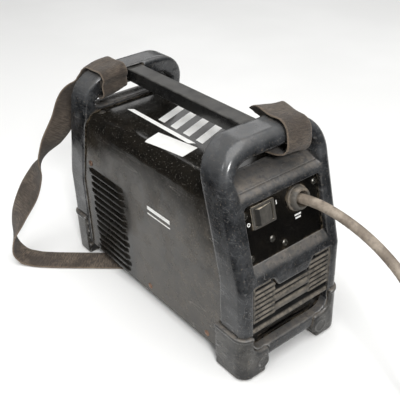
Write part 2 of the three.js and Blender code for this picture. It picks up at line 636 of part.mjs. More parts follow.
// ---------------------------------------------------------------- plug on the mains lead
// Two-pin earthed plug lying beside the coil, its axis along X and its pins at the far end.
const PLUG_TAIL_X = -158;
const PLUG_Z = 19;
const PLUG_Y = COIL_CENTRE[1] + COIL_RADII[1] - CORD_RADIUS;
const alongX = (body) => moved(body, new THREE.Matrix4().makeRotationZ(Math.PI / 2));
const plugBody = () => alongX(turned([[0, 0.3], [7.5, 0.3], [8.5, 30], [16, 38], [18.6, 42],
  [18.6, 66], [17.5, 70], [0, 70]], 28));
const plugPin = () => alongX(turned([[0, 70.3], [2.4, 70.3], [2.4, 87], [1.5, 89], [0, 89]], 14));
const tailRoute = [[-131, PLUG_Y, 16.6], [-137, PLUG_Y, 16.9], [-144, PLUG_Y, 17.7],
  [-150, PLUG_Y, 18.6], [-154, PLUG_Y, PLUG_Z], [PLUG_TAIL_X, PLUG_Y, PLUG_Z]];
const coil = () => upright(tube(COIL_RADII[0], COIL_RADII[1], 0.2, COIL_HEIGHT, 40));

// ---------------------------------------------------------------- assembly
part(mainsEnd, 'mains_frame', endFrame(MAINS_BUMPER_DEPTH, true), FRAME_PLASTIC);
part(mainsEnd, 'vent_louvre', louvre(), FRAME_PLASTIC);
part(mainsEnd, 'mains_panel', mainsPanelSheet(), PANEL_PAINT);
addBumpers(mainsEnd, 'mains', MAINS_BUMPER_DEPTH);
part(mainsPanel, 'switch_body', switchBody(), SWITCH_PLASTIC, SWITCH.x, 0, SWITCH.z);
part(mainsPanel, 'switch_rocker', rocker(), SWITCH_PLASTIC, SWITCH.x, PIVOT_DEPTH, SWITCH.z);
part(mainsPanel, 'cable_gland', gland(), GLAND_PLASTIC, GLAND.x, 0, GLAND.z);
part(mainsPanel, 'gland_nut', glandNut(), GLAND_PLASTIC, GLAND.x, 0, GLAND.z);
addScrews(mainsPanel, 'mains_panel_screw', MAINS_SCREWS);

part(controlEnd, 'control_frame', endFrame(CONTROL_BUMPER_DEPTH, false), FRAME_PLASTIC);
part(controlEnd, 'control_panel', controlPanelSheet(), PANEL_PAINT);
addBumpers(controlEnd, 'control', CONTROL_BUMPER_DEPTH);
part(controlPanel, 'current_knob', knob(), SWITCH_PLASTIC, KNOB.x, 0, KNOB.z);
part(controlPanel, 'potentiometer', potentiometer(), ZINC, KNOB.x, 0, KNOB.z);
part(controlPanel, 'display_window', displayWindow(), DISPLAY_WINDOW, DISPLAY.x, 0, DISPLAY.z);
part(controlPanel, 'mode_button', modeButton(), SWITCH_PLASTIC, BUTTON.x, 0, BUTTON.z);
part(controlPanel, 'control_board', block([-46, 46], [-16, -14.4], [4, 68]), CIRCUIT_BOARD);
LEDS.forEach(([name, x, z, material]) => part(controlPanel, name, led(), material, x, 0, z));
addScrews(controlPanel, 'control_panel_screw', CONTROL_SCREWS);
SOCKETS.forEach(({ name, x }) => {
  part(controlEnd, `socket_${name}`, socketBody(), SWITCH_PLASTIC, x, 0, SOCKET_Z);
  part(controlEnd, `socket_contact_${name}`, socketContact(), BRASS, x, 0, SOCKET_Z);
  const stud = PANEL_Y - 32 - GAP;
  part(controlEnd, `busbar_${name}`, union(
    block([-6, 6], [stud - 2, stud], [SOCKET_Z - 8, BOARD_Z + 4]),
    block([-6, 6], [60, stud], [BOARD_Z + 2, BOARD_Z + 4])), COPPER, x);
});

part(machine, 'case_cover', caseCover(), BLACK_PAINT);
part(machine, 'base_pan', basePan(), BLACK_PAINT);
part(machine, 'handle_bar', handle(), HANDLE_PAINT);
part(machine, 'fan_frame', fanFrame(), FAN_PLASTIC, 0, 150, FAN_Z);
part(machine, 'fan_rotor', fanRotor(), FAN_PLASTIC, 0, 150, FAN_Z);

part(machine, 'heatsink_tray', block([-63, 63], [-78, 108], [21.1, 23.9]), FAN_PLASTIC);
part(machine, 'heatsink_left', heatsink(4, 62), ALUMINIUM);
part(machine, 'heatsink_right', heatsink(-62, -4), ALUMINIUM);
part(machine, 'main_board', block([-64, 64], [-98, 120], [BOARD_Z, BOARD_Z + 1.6]), CIRCUIT_BOARD);
[[-58, -88], [58, -88], [-58, 114], [58, 114]].forEach(([x, y], i) => {
  part(machine, `board_standoff_${i + 1}`, upright(rod(4, 21.1, BOARD_Z - GAP, 12)), BRASS, x, y);
});
const ON_BOARD = BOARD_Z + 1.6 + GAP;
[70, 34].forEach((y, i) => {
  part(machine, `bulk_capacitor_${i + 1}`, capacitor(), CAPACITOR_SLEEVE, -42, y, ON_BOARD);
});
part(machine, 'transformer_core', coreBody(), FERRITE, 26, 60, ON_BOARD);
part(machine, 'transformer_winding', coreWinding(), WINDING, 26, 60, ON_BOARD);
part(machine, 'output_choke', choke(), WINDING, 0, -20, ON_BOARD);

const strap = new THREE.Mesh(ribbon(strapStations, STRAP_WIDTH, STRAP_THICKNESS, 130), WEBBING);
strap.name = 'shoulder_strap';
machine.add(strap);

part(machine, 'mains_cord_run', solid(roundTube(cordRoute, CORD_RADIUS, 4, 26)), CORD_RUBBER);
part(machine, 'mains_cord_coil', coil(), CORD_RUBBER, ...COIL_CENTRE);
part(machine, 'mains_cord_tail', solid(roundTube(tailRoute, CORD_RADIUS, 4, 6)), CORD_RUBBER);
part(machine, 'mains_plug', plugBody(), SWITCH_PLASTIC, PLUG_TAIL_X, PLUG_Y, PLUG_Z);
[9.5, -9.5].forEach((y, i) => {
  part(machine, `mains_plug_pin_${i + 1}`, plugPin(), BRASS, PLUG_TAIL_X, PLUG_Y + y, PLUG_Z);
});

// The origin is the middle of the footprint of everything but the free cord, on the surface.
const footprint = new THREE.Box3();
machine.updateMatrixWorld(true);
machine.traverse((child) => {
  const freeCord = child.name.startsWith('mains_cord') || child.name.startsWith('mains_plug');
  if (child.isMesh && !freeCord) footprint.expandByObject(child, true);
});
const middle = footprint.getCenter(new THREE.Vector3());
machine.position.set(-middle.x, -middle.y, 0);

export default machine;
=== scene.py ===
import bpy
import bmesh
import math
import numpy as np
from mathutils import Matrix, Vector


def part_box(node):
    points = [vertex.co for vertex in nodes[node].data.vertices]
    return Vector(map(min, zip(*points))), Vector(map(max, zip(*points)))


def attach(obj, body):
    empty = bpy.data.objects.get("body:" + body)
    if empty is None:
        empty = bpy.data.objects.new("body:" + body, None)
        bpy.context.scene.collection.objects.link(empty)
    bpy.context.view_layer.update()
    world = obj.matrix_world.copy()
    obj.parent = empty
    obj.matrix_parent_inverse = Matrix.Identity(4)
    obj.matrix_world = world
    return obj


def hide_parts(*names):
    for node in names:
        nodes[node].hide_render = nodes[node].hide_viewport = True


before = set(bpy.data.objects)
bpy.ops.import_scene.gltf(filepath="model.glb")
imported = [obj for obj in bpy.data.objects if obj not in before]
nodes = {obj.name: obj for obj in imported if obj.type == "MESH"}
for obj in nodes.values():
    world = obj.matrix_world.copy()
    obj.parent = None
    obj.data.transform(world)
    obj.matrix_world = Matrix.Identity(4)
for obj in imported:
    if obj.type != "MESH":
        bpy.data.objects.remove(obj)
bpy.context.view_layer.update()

# Lengths below are in millimetres from the middle of the machine, on the surface it stands on.
low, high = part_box("case_cover")
OFFSET = ((low[0] + high[0]) / 2, (low[1] + high[1]) / 2)
TO_FRAME = Matrix.Translation((OFFSET[0], OFFSET[1], 0)) @ Matrix.Scale(0.001, 4)
HALF_TURN = Matrix.Rotation(math.pi, 4, "Z")


def at(x, y, z):
    return TO_FRAME @ Vector((x, y, z))


def added(name, data):
    obj = bpy.data.objects.new(name, data)
    bpy.context.scene.collection.objects.link(obj)
    return obj


def moved(x, y, z):
    return Matrix.Translation((x, y, z))


def turned_about(axis, angle):
    return Matrix.Rotation(angle, 4, axis)


# ---- shape of the machine
KINK_Z = 125
LEAN = math.radians(13.35)
SLOPE = math.tan(LEAN)
PANEL_Y, PANEL_BEND_Z = 165, 144
COVER_HALF, COVER_TOP, COVER_RADIUS, SHEET = 71.5, 226, 20, 1.5
PANEL = moved(0, PANEL_Y, PANEL_BEND_Z) @ turned_about("X", LEAN)
CORD_RADIUS = 5.5
CORD_X = -21.5
COIL_CENTRE = (-90, 442)

# ---- camera
RIGHT = Vector((-0.7804, 0.6244, -0.0328))
UP = Vector((-0.3553, -0.3997, 0.8450))
BACK = RIGHT.cross(UP)
camera_data = bpy.data.cameras.new("camera")
camera_data.sensor_width = 36
camera_data.lens = 62.4
camera_data.clip_start = 0.01
camera = added("camera", camera_data)
eye = at(434.7, 582.2, 584.6)
camera.matrix_world = Matrix((
    (RIGHT.x, UP.x, BACK.x, eye.x), (RIGHT.y, UP.y, BACK.y, eye.y),
    (RIGHT.z, UP.z, BACK.z, eye.z), (0, 0, 0, 1)))
bpy.context.scene.camera = camera


# ---- materials
class Graph:
    """Short hands for building one material's nodes."""

    def __init__(self, name):
        self.material = bpy.data.materials.new(name)
        self.material.use_nodes = True
        self.tree = self.material.node_tree
        self.shader = self.tree.nodes["Principled BSDF"]
        self.position = self.tree.nodes.new("ShaderNodeTexCoord").outputs["Object"]

    def put(self, socket, value):
        if isinstance(value, bpy.types.NodeSocket):
            self.tree.links.new(value, socket)
        elif socket.type == "RGBA" and len(value) == 3:
            socket.default_value = (*value, 1)
        else:
            socket.default_value = value

    def node(self, kind, settings=None, **inputs):
        made = self.tree.nodes.new(kind)
        for key, value in (settings or {}).items():
            setattr(made, key, value)
        for key, value in inputs.items():
            self.put(made.inputs[key.replace("_", " ")], value)
        return made

    def set(self, **inputs):
        for key, value in inputs.items():
            self.put(self.shader.inputs[key.replace("_", " ")], value)

    def math(self, operation, a, b=0.0, clamp=False):
        made = self.tree.nodes.new("ShaderNodeMath")
        made.operation, made.use_clamp = operation, clamp
        self.put(made.inputs[0], a)
        self.put(made.inputs[1], b)
        return made.outputs[0]

    def times(self, first, *others):
        for factor in others:
            first = self.math("MULTIPLY", first, factor)
        return first

    def scaled(self, size, turn=(0, 0, 0)):
        return self.node("ShaderNodeMapping", Vector=self.position, Scale=size,
                         Rotation=turn).outputs[0]

    def noise(self, scale, detail=4, roughness=0.5, vector=None):
        return self.node("ShaderNodeTexNoise", Vector=vector or self.position, Scale=scale,
                         Detail=detail, Roughness=roughness).outputs["Fac"]

    def band(self, value, low, high, out_low=0.0, out_high=1.0):
        return self.node("ShaderNodeMapRange", {"interpolation_type": "SMOOTHSTEP"}, Value=value,
                         From_Min=low, From_Max=high, To_Min=out_low, To_Max=out_high).outputs[0]

    def mix(self, amount, a, b):
        made = self.tree.nodes.new("ShaderNodeMix")
        made.data_type = "RGBA"
        self.put(made.inputs["Factor"], amount)
        self.put(made.inputs[6], a)
        self.put(made.inputs[7], b)
        return made.outputs[2]

    def over(self, base, *coats):
        """Colours laid over a base, each by its own amount."""
        for amount, color in coats:
            base = self.mix(amount, base, color)
        return base

    def bump(self, height, strength, distance=0.0003, under=None):
        inputs = {"Height": height, "Strength": strength, "Distance": distance}
        if under:
            inputs["Normal"] = under
        return self.node("ShaderNodeBump", None, **inputs).outputs[0]

    def place(self, axis):
        """Millimetres from the middle of the machine along one axis."""
        metres = self.node("ShaderNodeSeparateXYZ", Vector=self.position).outputs["XYZ"[axis]]
        start = (*OFFSET, 0)[axis]
        return self.times(self.math("SUBTRACT", metres, start), 1000)

    def facing(self, axis=2):
        """How far the surface faces along an axis: upwards, unless another is given."""
        normal = self.node("ShaderNodeNewGeometry").outputs["Normal"]
        return self.node("ShaderNodeSeparateXYZ", Vector=normal).outputs["XYZ"[axis]]

    def edges(self, low, high):
        """1 on outward corners."""
        point = self.node("ShaderNodeNewGeometry").outputs["Pointiness"]
        return self.band(point, low, high)

    def crevice(self, distance=0.006):
        """1 in tight corners, 0 in the open."""
        hidden = self.node("ShaderNodeAmbientOcclusion", {"samples": 4}, Distance=distance)
        return self.band(hidden.outputs["AO"], 0.35, 0.85, 1.0, 0.0)

    def scratches(self, scale, turn, width=0.012):
        """Thin lines, a few of them, in one direction."""
        vector = self.scaled((scale, scale * 0.06, scale), turn)
        wander = self.noise(1.0, 2, vector=vector)
        line = self.math("ABSOLUTE", self.math("SUBTRACT", wander, 0.5))
        thin = self.band(line, 0.0, width, 1.0, 0.0)
        return self.times(thin, self.band(self.noise(scale * 0.5, 1), 0.5, 0.62))


DUST = (0.30, 0.245, 0.185)


def moulded(name, color, light, dust=0.4, roughness=0.25, top_light=0.6):
    """Satin moulded plastic or rubber: worn lighter in places, dusty where it faces up, and painted
    lighter on faces turned up as if lit from above.
    """
    g = Graph(name)
    speckle = g.band(g.noise(520, 2), 0.63, 0.70)
    marks = g.math("ADD", g.scratches(260, (0.4, 0.2, 0.7)),
                   g.scratches(190, (1.1, 0.5, 2.2)), True)
    scuffs = g.math("ADD", g.scratches(75, (0.3, 1.2, 0.4), 0.007),
                    g.scratches(52, (1.2, 0.3, 1.9), 0.005), True)
    upward = g.band(g.facing(), 0.25, 0.9)
    settled = g.times(upward, g.band(g.noise(150, 8, 0.72), 0.34, 0.66, 0.2, 1.0),
                      g.band(g.noise(18, 3), 0.35, 0.65, 0.55, 1.0), dust,
                      g.band(g.place(2), 234, 248, 1.0, 0.3))
    lodged = g.times(g.crevice(), g.band(g.noise(130, 5), 0.4, 0.62, 0.05, 0.55))
    settled = g.math("MAXIMUM", settled, lodged)
    # painted light: faces turned up are lifted towards a pale blue-grey, as light from above would;
    # sides stay darker
    top_lit = g.band(g.facing(), 0.0, 0.85, 0.0, top_light)
    worn = g.times(g.edges(0.515, 0.56), g.band(g.noise(90, 4), 0.35, 0.6, 0.15, 0.6))
    base = g.over(
        color, (g.band(g.noise(38, 7, 0.68), 0.38, 0.66), light), (g.times(speckle, 0.28), DUST),
        (g.times(marks, 0.3), (0.27, 0.265, 0.26)), (g.times(scuffs, 0.4), (0.25, 0.25, 0.25)),
        (top_lit, (0.105, 0.11, 0.115)), (settled, DUST), (worn, (0.26, 0.255, 0.245)))
    g.set(Base_Color=base,
          Roughness=g.math("ADD", g.times(settled, 0.35),
                           g.band(g.noise(45, 4), 0.3, 0.7, roughness - 0.06, roughness + 0.1)),
          Normal=g.bump(g.noise(1500, 2), 0.12, 0.0002, g.bump(g.noise(120, 3), 0.1, 0.0006)))
    return g.material


def painted(name, color, gloss=0.12, dust=0.25, scratched=0.5, dark_reflection_and_specks=False, on_top=False,
            dust_and_sheen_tint=(0.235, 0.185, 0.125)):
    """Gloss paint on sheet steel: faint orange peel, a dust film that also carries painted light,
    and fine scratches.
    """
    g = Graph(name)
    film = g.band(g.noise(70, 9, 0.72), 0.3, 0.72, 0.15, 1.0)
    # the dust film also paints light: with on_top it lies on faces turned up, a painted lit top;
    # otherwise it thins on faces turned up, painting the top darker than the sides
    upward = g.band(g.facing(), 0.3, 0.9, 0.08, 1.0) if on_top \
        else g.band(g.facing(), 0.02, 0.35, 1.0, 0.45)
    film = g.times(film, upward, dust)
    if dark_reflection_and_specks:
        # painted dark reflection: the dust film thins along the shoulder and round the side vents,
        # where the sheet mirrors the dark room
        film = g.times(film, g.band(g.place(2), 150, 205, 1.0, 0.3))
        vents = g.times(g.band(g.place(1), -38, -24, 0.85, 0.0),
                        g.band(g.place(1), -134, -126), g.band(g.place(2), 148, 162, 1.0, 0.0))
        film = g.times(film, g.math("SUBTRACT", 1.0, vents))
    scratch = g.math("ADD", g.scratches(22, (0.2, 0.9, 0.35), 0.0010),
                     g.scratches(37, (0.9, 0.1, 1.3), 0.0011), True)
    lodged = g.times(g.crevice(0.004), g.band(g.noise(150, 5), 0.42, 0.6, 0.0, 0.6))
    film = g.math("MAXIMUM", film, lodged)
    base = g.mix(film, color, dust_and_sheen_tint)
    base = g.mix(g.times(scratch, scratched), base, (0.30, 0.28, 0.25))
    if dark_reflection_and_specks:
        specks = g.band(g.noise(520, 2), 0.655, 0.69)
        hairs = g.math("ADD", g.scratches(95, (0.5, 0.2, 0.9), 0.005),
                       g.scratches(120, (0.3, 0.7, 2.2), 0.005), True)
        specks = g.math("MAXIMUM", specks, g.times(hairs, 0.35))
        base = g.mix(g.times(specks, 0.18), base, (0.36, 0.335, 0.30))
    rough = g.band(g.noise(38, 5), 0.35, 0.75, gloss, gloss + 0.16)
    g.set(Base_Color=base, Roughness=g.math("ADD", rough, g.times(film, 0.6)),
          Normal=g.bump(g.noise(240, 2), 0.05, 0.0003,
                        g.bump(g.times(scratch, -1), 0.2, 0.0001)))
    return g.material


def vented(name):
    """Moulded slats: dusty on their outer edges, painted near-black further in as the shade in the
    gaps.
    """
    g = Graph(name)
    dusty = g.times(g.band(g.noise(170, 6, 0.7), 0.34, 0.64, 0.3, 1.0),
                    g.band(g.facing(), -0.4, 0.6, 0.35, 1.0))
    base = g.mix(dusty, (0.016, 0.016, 0.016), (0.205, 0.180, 0.146))
    # painted shade: inward of y = 173.2 mm the slats go near-black, the shade between the blades
    outer = g.band(g.place(1), 173.2, 174.7)
    base = g.mix(outer, (0.001, 0.001, 0.001), base)
    g.set(Base_Color=base, Roughness=g.band(g.noise(60, 3), 0.3, 0.7, 0.4, 0.6),
          Normal=g.bump(g.noise(1500, 2), 0.12, 0.0002))
    return g.material


def metal(name, color, roughness=0.3, tarnish=(0.12, 0.1, 0.08), amount=0.5):
    g = Graph(name)
    spots = g.band(g.noise(420, 4, 0.6), 0.5, 0.68)
    g.set(Base_Color=g.mix(g.times(spots, amount), color, tarnish), Metallic=1.0,
          Roughness=g.band(g.noise(300, 3), 0.3, 0.7, roughness, roughness + 0.25),
          Normal=g.bump(g.noise(900, 2), 0.1, 0.0001))
    return g.material


def plastic(name, color, roughness=0.4, dust=0.3, grain=1200):
    g = Graph(name)
    film = g.times(g.band(g.noise(70, 5, 0.6), 0.4, 0.7), dust)
    g.set(Base_Color=g.mix(film, color, DUST),
          Roughness=g.band(g.noise(90, 3), 0.3, 0.7, roughness, roughness + 0.15),
          Normal=g.bump(g.noise(grain, 2), 0.12, 0.0002))
    return g.material


def switch_plastic():
    """Black plastic under a dust film, with a pale line of dirt on its upper and outer rims."""
    g = Graph("switch_plastic")
    film = g.band(g.noise(120, 6, 0.7), 0.36, 0.66, 0.35, 0.8)
    film = g.times(film, g.band(g.facing(0), 0.35, 0.6, 1.0, 0.25))
    base = g.mix(film, (0.009, 0.009, 0.0085), (0.118, 0.109, 0.095))
    rim = g.math("MAXIMUM", g.band(g.facing(), 0.7, 0.95),
                 g.times(g.band(g.facing(0), 0.85, 0.98), 0.8))
    rim = g.times(rim, g.math("SUBTRACT", 1.0, g.crevice(0.0025)))
    patchy = g.times(rim, g.band(g.noise(260, 3), 0.35, 0.6, 0.5, 1.0))
    base = g.mix(patchy, base, (0.62, 0.54, 0.42))
    g.set(Base_Color=base, Roughness=g.band(g.noise(90, 3), 0.3, 0.7, 0.4, 0.55),
          Normal=g.bump(g.noise(1200, 2), 0.12, 0.0002))
    return g.material


def woven():
    """Plain-woven webbing: ribs across it, a dusty nap, lighter worn edges."""
    g = Graph("webbing")
    uv = g.tree.nodes.new("ShaderNodeTexCoord").outputs["UV"]
    split = g.node("ShaderNodeSeparateXYZ", Vector=uv)
    across, along = split.outputs["X"], split.outputs["Y"]
    ribs = g.math("SINE", g.times(along, 2 * math.pi / 0.0016))
    warp = g.math("SINE", g.times(across, 2 * math.pi / 0.0011))
    weave = g.math("ADD", g.times(ribs, 0.5), g.times(warp, 0.35))
    edge = g.band(g.math("ABSOLUTE", across), 0.0150, 0.0176)
    laid = g.node("ShaderNodeMapping", Vector=uv, Scale=(110, 620, 1), Rotation=(0, 0, 0.6))
    streak = g.band(g.noise(1.0, 5, 0.65, vector=laid.outputs[0]), 0.42, 0.58, 0.0, 0.8)
    worn = g.band(g.noise(30, 5, 0.6), 0.38, 0.64)
    ends = g.math("MAXIMUM", g.band(along, 0.30, 0.42, 1.0, 0.0), g.band(along, 0.96, 1.06))
    base = g.over((0.080, 0.058, 0.042), (worn, (0.215, 0.166, 0.122)),
                  (g.times(ends, 0.55), (0.035, 0.028, 0.022)),
                  (g.band(weave, -0.6, 0.7, 0.0, 0.35), (0.030, 0.024, 0.019)),
                  (streak, (0.034, 0.026, 0.020)), (g.times(edge, 0.4), (0.25, 0.19, 0.135)))
    g.set(Base_Color=base, Roughness=0.95, Sheen_Weight=0.12,
          Normal=g.bump(weave, 0.5, 0.0005, g.bump(g.noise(160, 5, 0.65), 0.7, 0.0016)))
    return g.material


def cable_jacket():
    g = Graph("cord_jacket")
    base = g.over((0.17, 0.138, 0.107),
                  (g.band(g.noise(48, 6, 0.65), 0.4, 0.66), (0.33, 0.28, 0.225)),
                  (g.times(g.band(g.noise(190, 4), 0.58, 0.7), 0.55), (0.10, 0.085, 0.075)))
    g.set(Base_Color=base, Roughness=0.72,
          Normal=g.bump(g.noise(160, 4), 0.3, 0.0006))
    return g.material


def board_green():
    g = Graph("circuit_board")
    tracks = g.band(g.noise(130, 1), 0.49, 0.5)
    g.set(Base_Color=g.mix(g.times(tracks, 0.5), (0.012, 0.07, 0.03), (0.03, 0.14, 0.06)),
          Roughness=0.4, Normal=g.bump(tracks, 0.1, 0.0001))
    return g.material


def wire_wound():
    g = Graph("enamelled_wire")
    turns = g.node("ShaderNodeTexWave", {"wave_type": "BANDS", "bands_direction": "Z"},
                   Vector=g.position, Scale=140.0, Distortion=0.4).outputs["Fac"]
    g.set(Base_Color=g.mix(turns, (0.25, 0.08, 0.03), (0.6, 0.27, 0.1)), Metallic=0.7,
          Roughness=0.35, Normal=g.bump(turns, 0.5, 0.0006))
    return g.material


def lens(name, color):
    g = Graph(name)
    ripple = g.noise(700, 2)
    g.set(Base_Color=g.mix(ripple, color, tuple(0.5 * c for c in color)),
          Roughness=g.band(ripple, 0.3, 0.7, 0.08, 0.2), Coat_Weight=0.5)
    return g.material


FRAME = moulded("frame_plastic", (0.0065, 0.0072, 0.0085), (0.036, 0.038, 0.041), 0.42, 0.22)
BUMPER = moulded("bumper_rubber", (0.009, 0.0088, 0.0085), (0.062, 0.059, 0.053), 0.5, 0.25)
LOUVRE = vented("louvre_plastic_painted_shade")
COVER = painted("cover_paint", (0.005, 0.0048, 0.0042), 0.09, 0.24, 0.5, True)
LIPS = painted("vent_paint", (0.005, 0.0048, 0.0042), 0.2, 0.05, 0.1)
PANEL_PAINT = painted("panel_paint", (0.0025, 0.0025, 0.0025), 0.08, 0.03, 0.2)
# the handle's grey film lies on its top face: dust, and painted light making the top grey against
# black sides
HANDLE = painted("handle_paint", (0.008, 0.008, 0.008), 0.22, 0.42, 0.5, on_top=True,
                 dust_and_sheen_tint=(0.19, 0.183, 0.168))
SWITCH = switch_plastic()
GLAND = plastic("gland_plastic", (0.075, 0.069, 0.060), 0.5, 0.6)
KNOB = plastic("knob_plastic", (0.018, 0.018, 0.018), 0.4, 0.15)
FAN = plastic("fan_plastic", (0.012, 0.012, 0.012), 0.45, 0.35)
ZINC = metal("zinc_plate", (0.17, 0.165, 0.15), 0.26, (0.05, 0.04, 0.03), 0.9)
BRASS = metal("brass", (0.60, 0.42, 0.16), 0.25)
COPPER = metal("copper", (0.62, 0.28, 0.14), 0.3)
ALUMINIUM = metal("aluminium", (0.52, 0.53, 0.54), 0.35, (0.2, 0.2, 0.2), 0.3)
WEBBING = woven()
JACKET = cable_jacket()
BOARD = board_green()
WINDING = wire_wound()
FERRITE = plastic("ferrite", (0.03, 0.03, 0.032), 0.5, 0.2, 500)
SLEEVE = plastic("capacitor_sleeve", (0.015, 0.02, 0.04), 0.3, 0.1, 500)
DISPLAY = lens("display_window", (0.03, 0.004, 0.004))
GREEN = lens("lens_green", (0.05, 0.32, 0.08))
AMBER = lens("lens_amber", (0.6, 0.25, 0.02))
VINYL = plastic("label_vinyl", (0.72, 0.72, 0.70), 0.45, 0.12, 400)
PRINT = plastic("panel_print", (0.83, 0.83, 0.81), 0.5, 0.12, 400)
RUST = metal("rusty_steel", (0.30, 0.20, 0.15), 0.45, (0.16, 0.06, 0.03), 0.9)
TIE = plastic("hook_and_loop", (0.02, 0.02, 0.02), 0.9, 0.2, 2500)


# ---- making pieces
def finish(obj, slot, body="machine", replaces=()):
    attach(obj, body)
    if replaces:
        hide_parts(*replaces)
    return obj


def placed(name, mesh, material, slot, place=None, smooth=True, **options):
    """A mesh in millimetres, set in place and brought into the row frame."""
    mesh.transform(TO_FRAME @ (place or Matrix.Identity(4)))
    mesh.materials.append(material)
    mesh.shade_smooth() if smooth else mesh.shade_flat()
    return finish(added(name, mesh), slot, **options)


def piece(name, vertices, faces, *looks, **options):
    mesh = bpy.data.meshes.new(name)
    mesh.from_pydata([tuple(v) for v in vertices], [], [tuple(f) for f in faces])
    mesh.validate()
    return placed(name, mesh, *looks, **options)


def as_mesh(name, bm):
    mesh = bpy.data.meshes.new(name)
    bm.to_mesh(mesh)
    bm.free()
    return mesh


def from_bmesh(name, bm, *looks, **options):
    bmesh.ops.recalc_face_normals(bm, faces=bm.faces)
    return placed(name, as_mesh(name, bm), *looks, **options)


def by_angle(obj, degrees=35):
    """Smooth shading that keeps edges sharper than this."""
    bm = bmesh.new()
    bm.from_mesh(obj.data)
    for edge in bm.edges:
        edge.smooth = not (len(edge.link_faces) == 2
                           and edge.calc_face_angle(0) > math.radians(degrees))
    bm.to_mesh(obj.data)
    bm.free()
    return obj


# ---- rounded solids from distances
def rectangle(u, v, lo, hi, corner, top_corner=None):
    """Distance to a rectangle whose upper corners may have a radius of their own."""
    centre = ((lo[0] + hi[0]) / 2, (lo[1] + hi[1]) / 2)
    radius = corner if top_corner is None else np.where(v > centre[1], top_corner, corner)
    a = np.abs(u - centre[0]) - (hi[0] - lo[0]) / 2 + radius
    b = np.abs(v - centre[1]) - (hi[1] - lo[1]) / 2 + radius
    return np.minimum(np.maximum(a, b), 0) + np.hypot(np.maximum(a, 0), np.maximum(b, 0)) - radius


def slab(outline, w, centre, half, radius):
    """An outline given depth, its rims rounded."""
    a = outline + radius
    b = np.abs(w - centre) - half + radius
    return np.minimum(np.maximum(a, b), 0) + np.hypot(np.maximum(a, 0), np.maximum(b, 0)) - radius


def both(a, b, k=0.0):
    """The part inside both, its new edge rounded over about k."""
    if not k:
        return np.maximum(a, b)
    h = np.clip(0.5 - 0.5 * (b - a) / k, 0, 1)
    return b * (1 - h) + a * h + k * h * (1 - h)


def either(a, b, k=0.0):
    return -both(-a, -b, k)


def without(a, b, k=0.0):
    return both(a, -b, k)


def span(w, lo, hi):
    return np.abs(w - (lo + hi) / 2) - (hi - lo) / 2


def skin(distance, lo, hi, step):
    """Vertices and quads where the distance crosses zero on a grid."""
    axes = [np.arange(a, b + step, step) for a, b in zip(lo, hi)]
    d = distance(*np.meshgrid(*axes, indexing="ij")).astype(np.float32)
    cells = tuple(n - 1 for n in d.shape)
    total, count = np.zeros((*cells, 3), np.float32), np.zeros(cells, np.int32)
    crossings = []
    for axis in range(3):
        near = [slice(None)] * 3
        far = [slice(None)] * 3
        near[axis], far[axis] = slice(0, -1), slice(1, None)
        da, db = d[tuple(near)], d[tuple(far)]
        cross = (da < 0) != (db < 0)
        crossings.append((cross, da < 0))
        t = np.where(cross, da / np.where(cross, da - db, 1), 0)
        p, q = [k for k in range(3) if k != axis]
        for i in (0, 1):
            for j in (0, 1):
                part = [slice(None)] * 3
                part[p] = slice(i, cells[p] + i)
                part[q] = slice(j, cells[q] + j)
                c = cross[tuple(part)]
                count += c
                total[..., axis] += t[tuple(part)]
                total[..., p] += c * i
                total[..., q] += c * j
    used = count > 0
    number = np.full(cells, -1, np.int64)
    number[used] = np.arange(used.sum())
    vertices = np.array(lo) + step * (np.argwhere(used) + total[used] / count[used][:, None])
    faces = []
    for axis, (cross, inside) in enumerate(crossings):
        u, v = (axis + 1) % 3, (axis + 2) % 3
        e = np.argwhere(cross)
        e = e[(e[:, u] > 0) & (e[:, u] < cells[u]) & (e[:, v] > 0) & (e[:, v] < cells[v])]
        du, dv = np.eye(3, dtype=int)[u], np.eye(3, dtype=int)[v]
        quad = np.stack([number[tuple(c.T)] for c in (e, e - du, e - du - dv, e - dv)], 1)
        outward = inside[tuple(e.T)]
        faces.append(np.where(outward[:, None], quad, quad[:, ::-1]))
    return vertices, np.concatenate(faces)


# ---- end frames
def lean_in(y, z):
    """How far out a point would be if the end were upright all the way."""
    return y + SLOPE * np.maximum(z - KINK_Z, 0)


def tab(x, z):
    """The tongue that hangs from the middle bar over the louvre."""
    side = np.abs(x) - (22 + (z - 112) * 8.5 / 14)
    return both(side * 0.85, 112 - z, 2)


def bumper_block(x, y, z, depth):
    """An L seen from the end that wraps the foot of one post, both posts at once."""
    x = np.abs(x)
    plan = rectangle(x, y, (-76.5, -179.5), (76.5, 179.5), 15)
    body = slab(plan, z, 30.5, 30.5, np.where(z > 30, 1.5, 4))
    lip = slab(plan - 1.3, z, 59, 2.3, 1.6)
    body = either(body, lip, 1.5)
    body = without(body, both(x - 59, 34 - z, 16), 4)
    body = both(body, 35.5 - x, 5)
    body = without(body, both(x - 41, z - 9, 2), 3)
    body = both(body, 179.7 - depth - y, 2)
    boss = np.hypot(np.hypot(x - 46, z - 17) - 8, y - 179.2) - 0.9
    return either(body, boss, 1)


def bumper(side, depth):
    """One rubber corner: hollow round the foot of the post, with a scalloped rim inside."""
    def distance(x, y, z):
        body = bumper_block(x, y, z, depth)
        core = both(both(np.abs(x) - 72.3, y - 171.5, 6), 14.7 - z, 1)
        body = without(body, core, 1)
        tooth = np.abs(z - 47 + 12 * np.clip(np.round((47 - z) / 12), 0, 3)) * 0.9 \
            + np.abs(y - (179.5 - depth)) * 0.9 - 4.5
        body = either(body, both(tooth, span(np.abs(x), 72.3, 74.6)))
        return both(body, -side * x)
    return distance


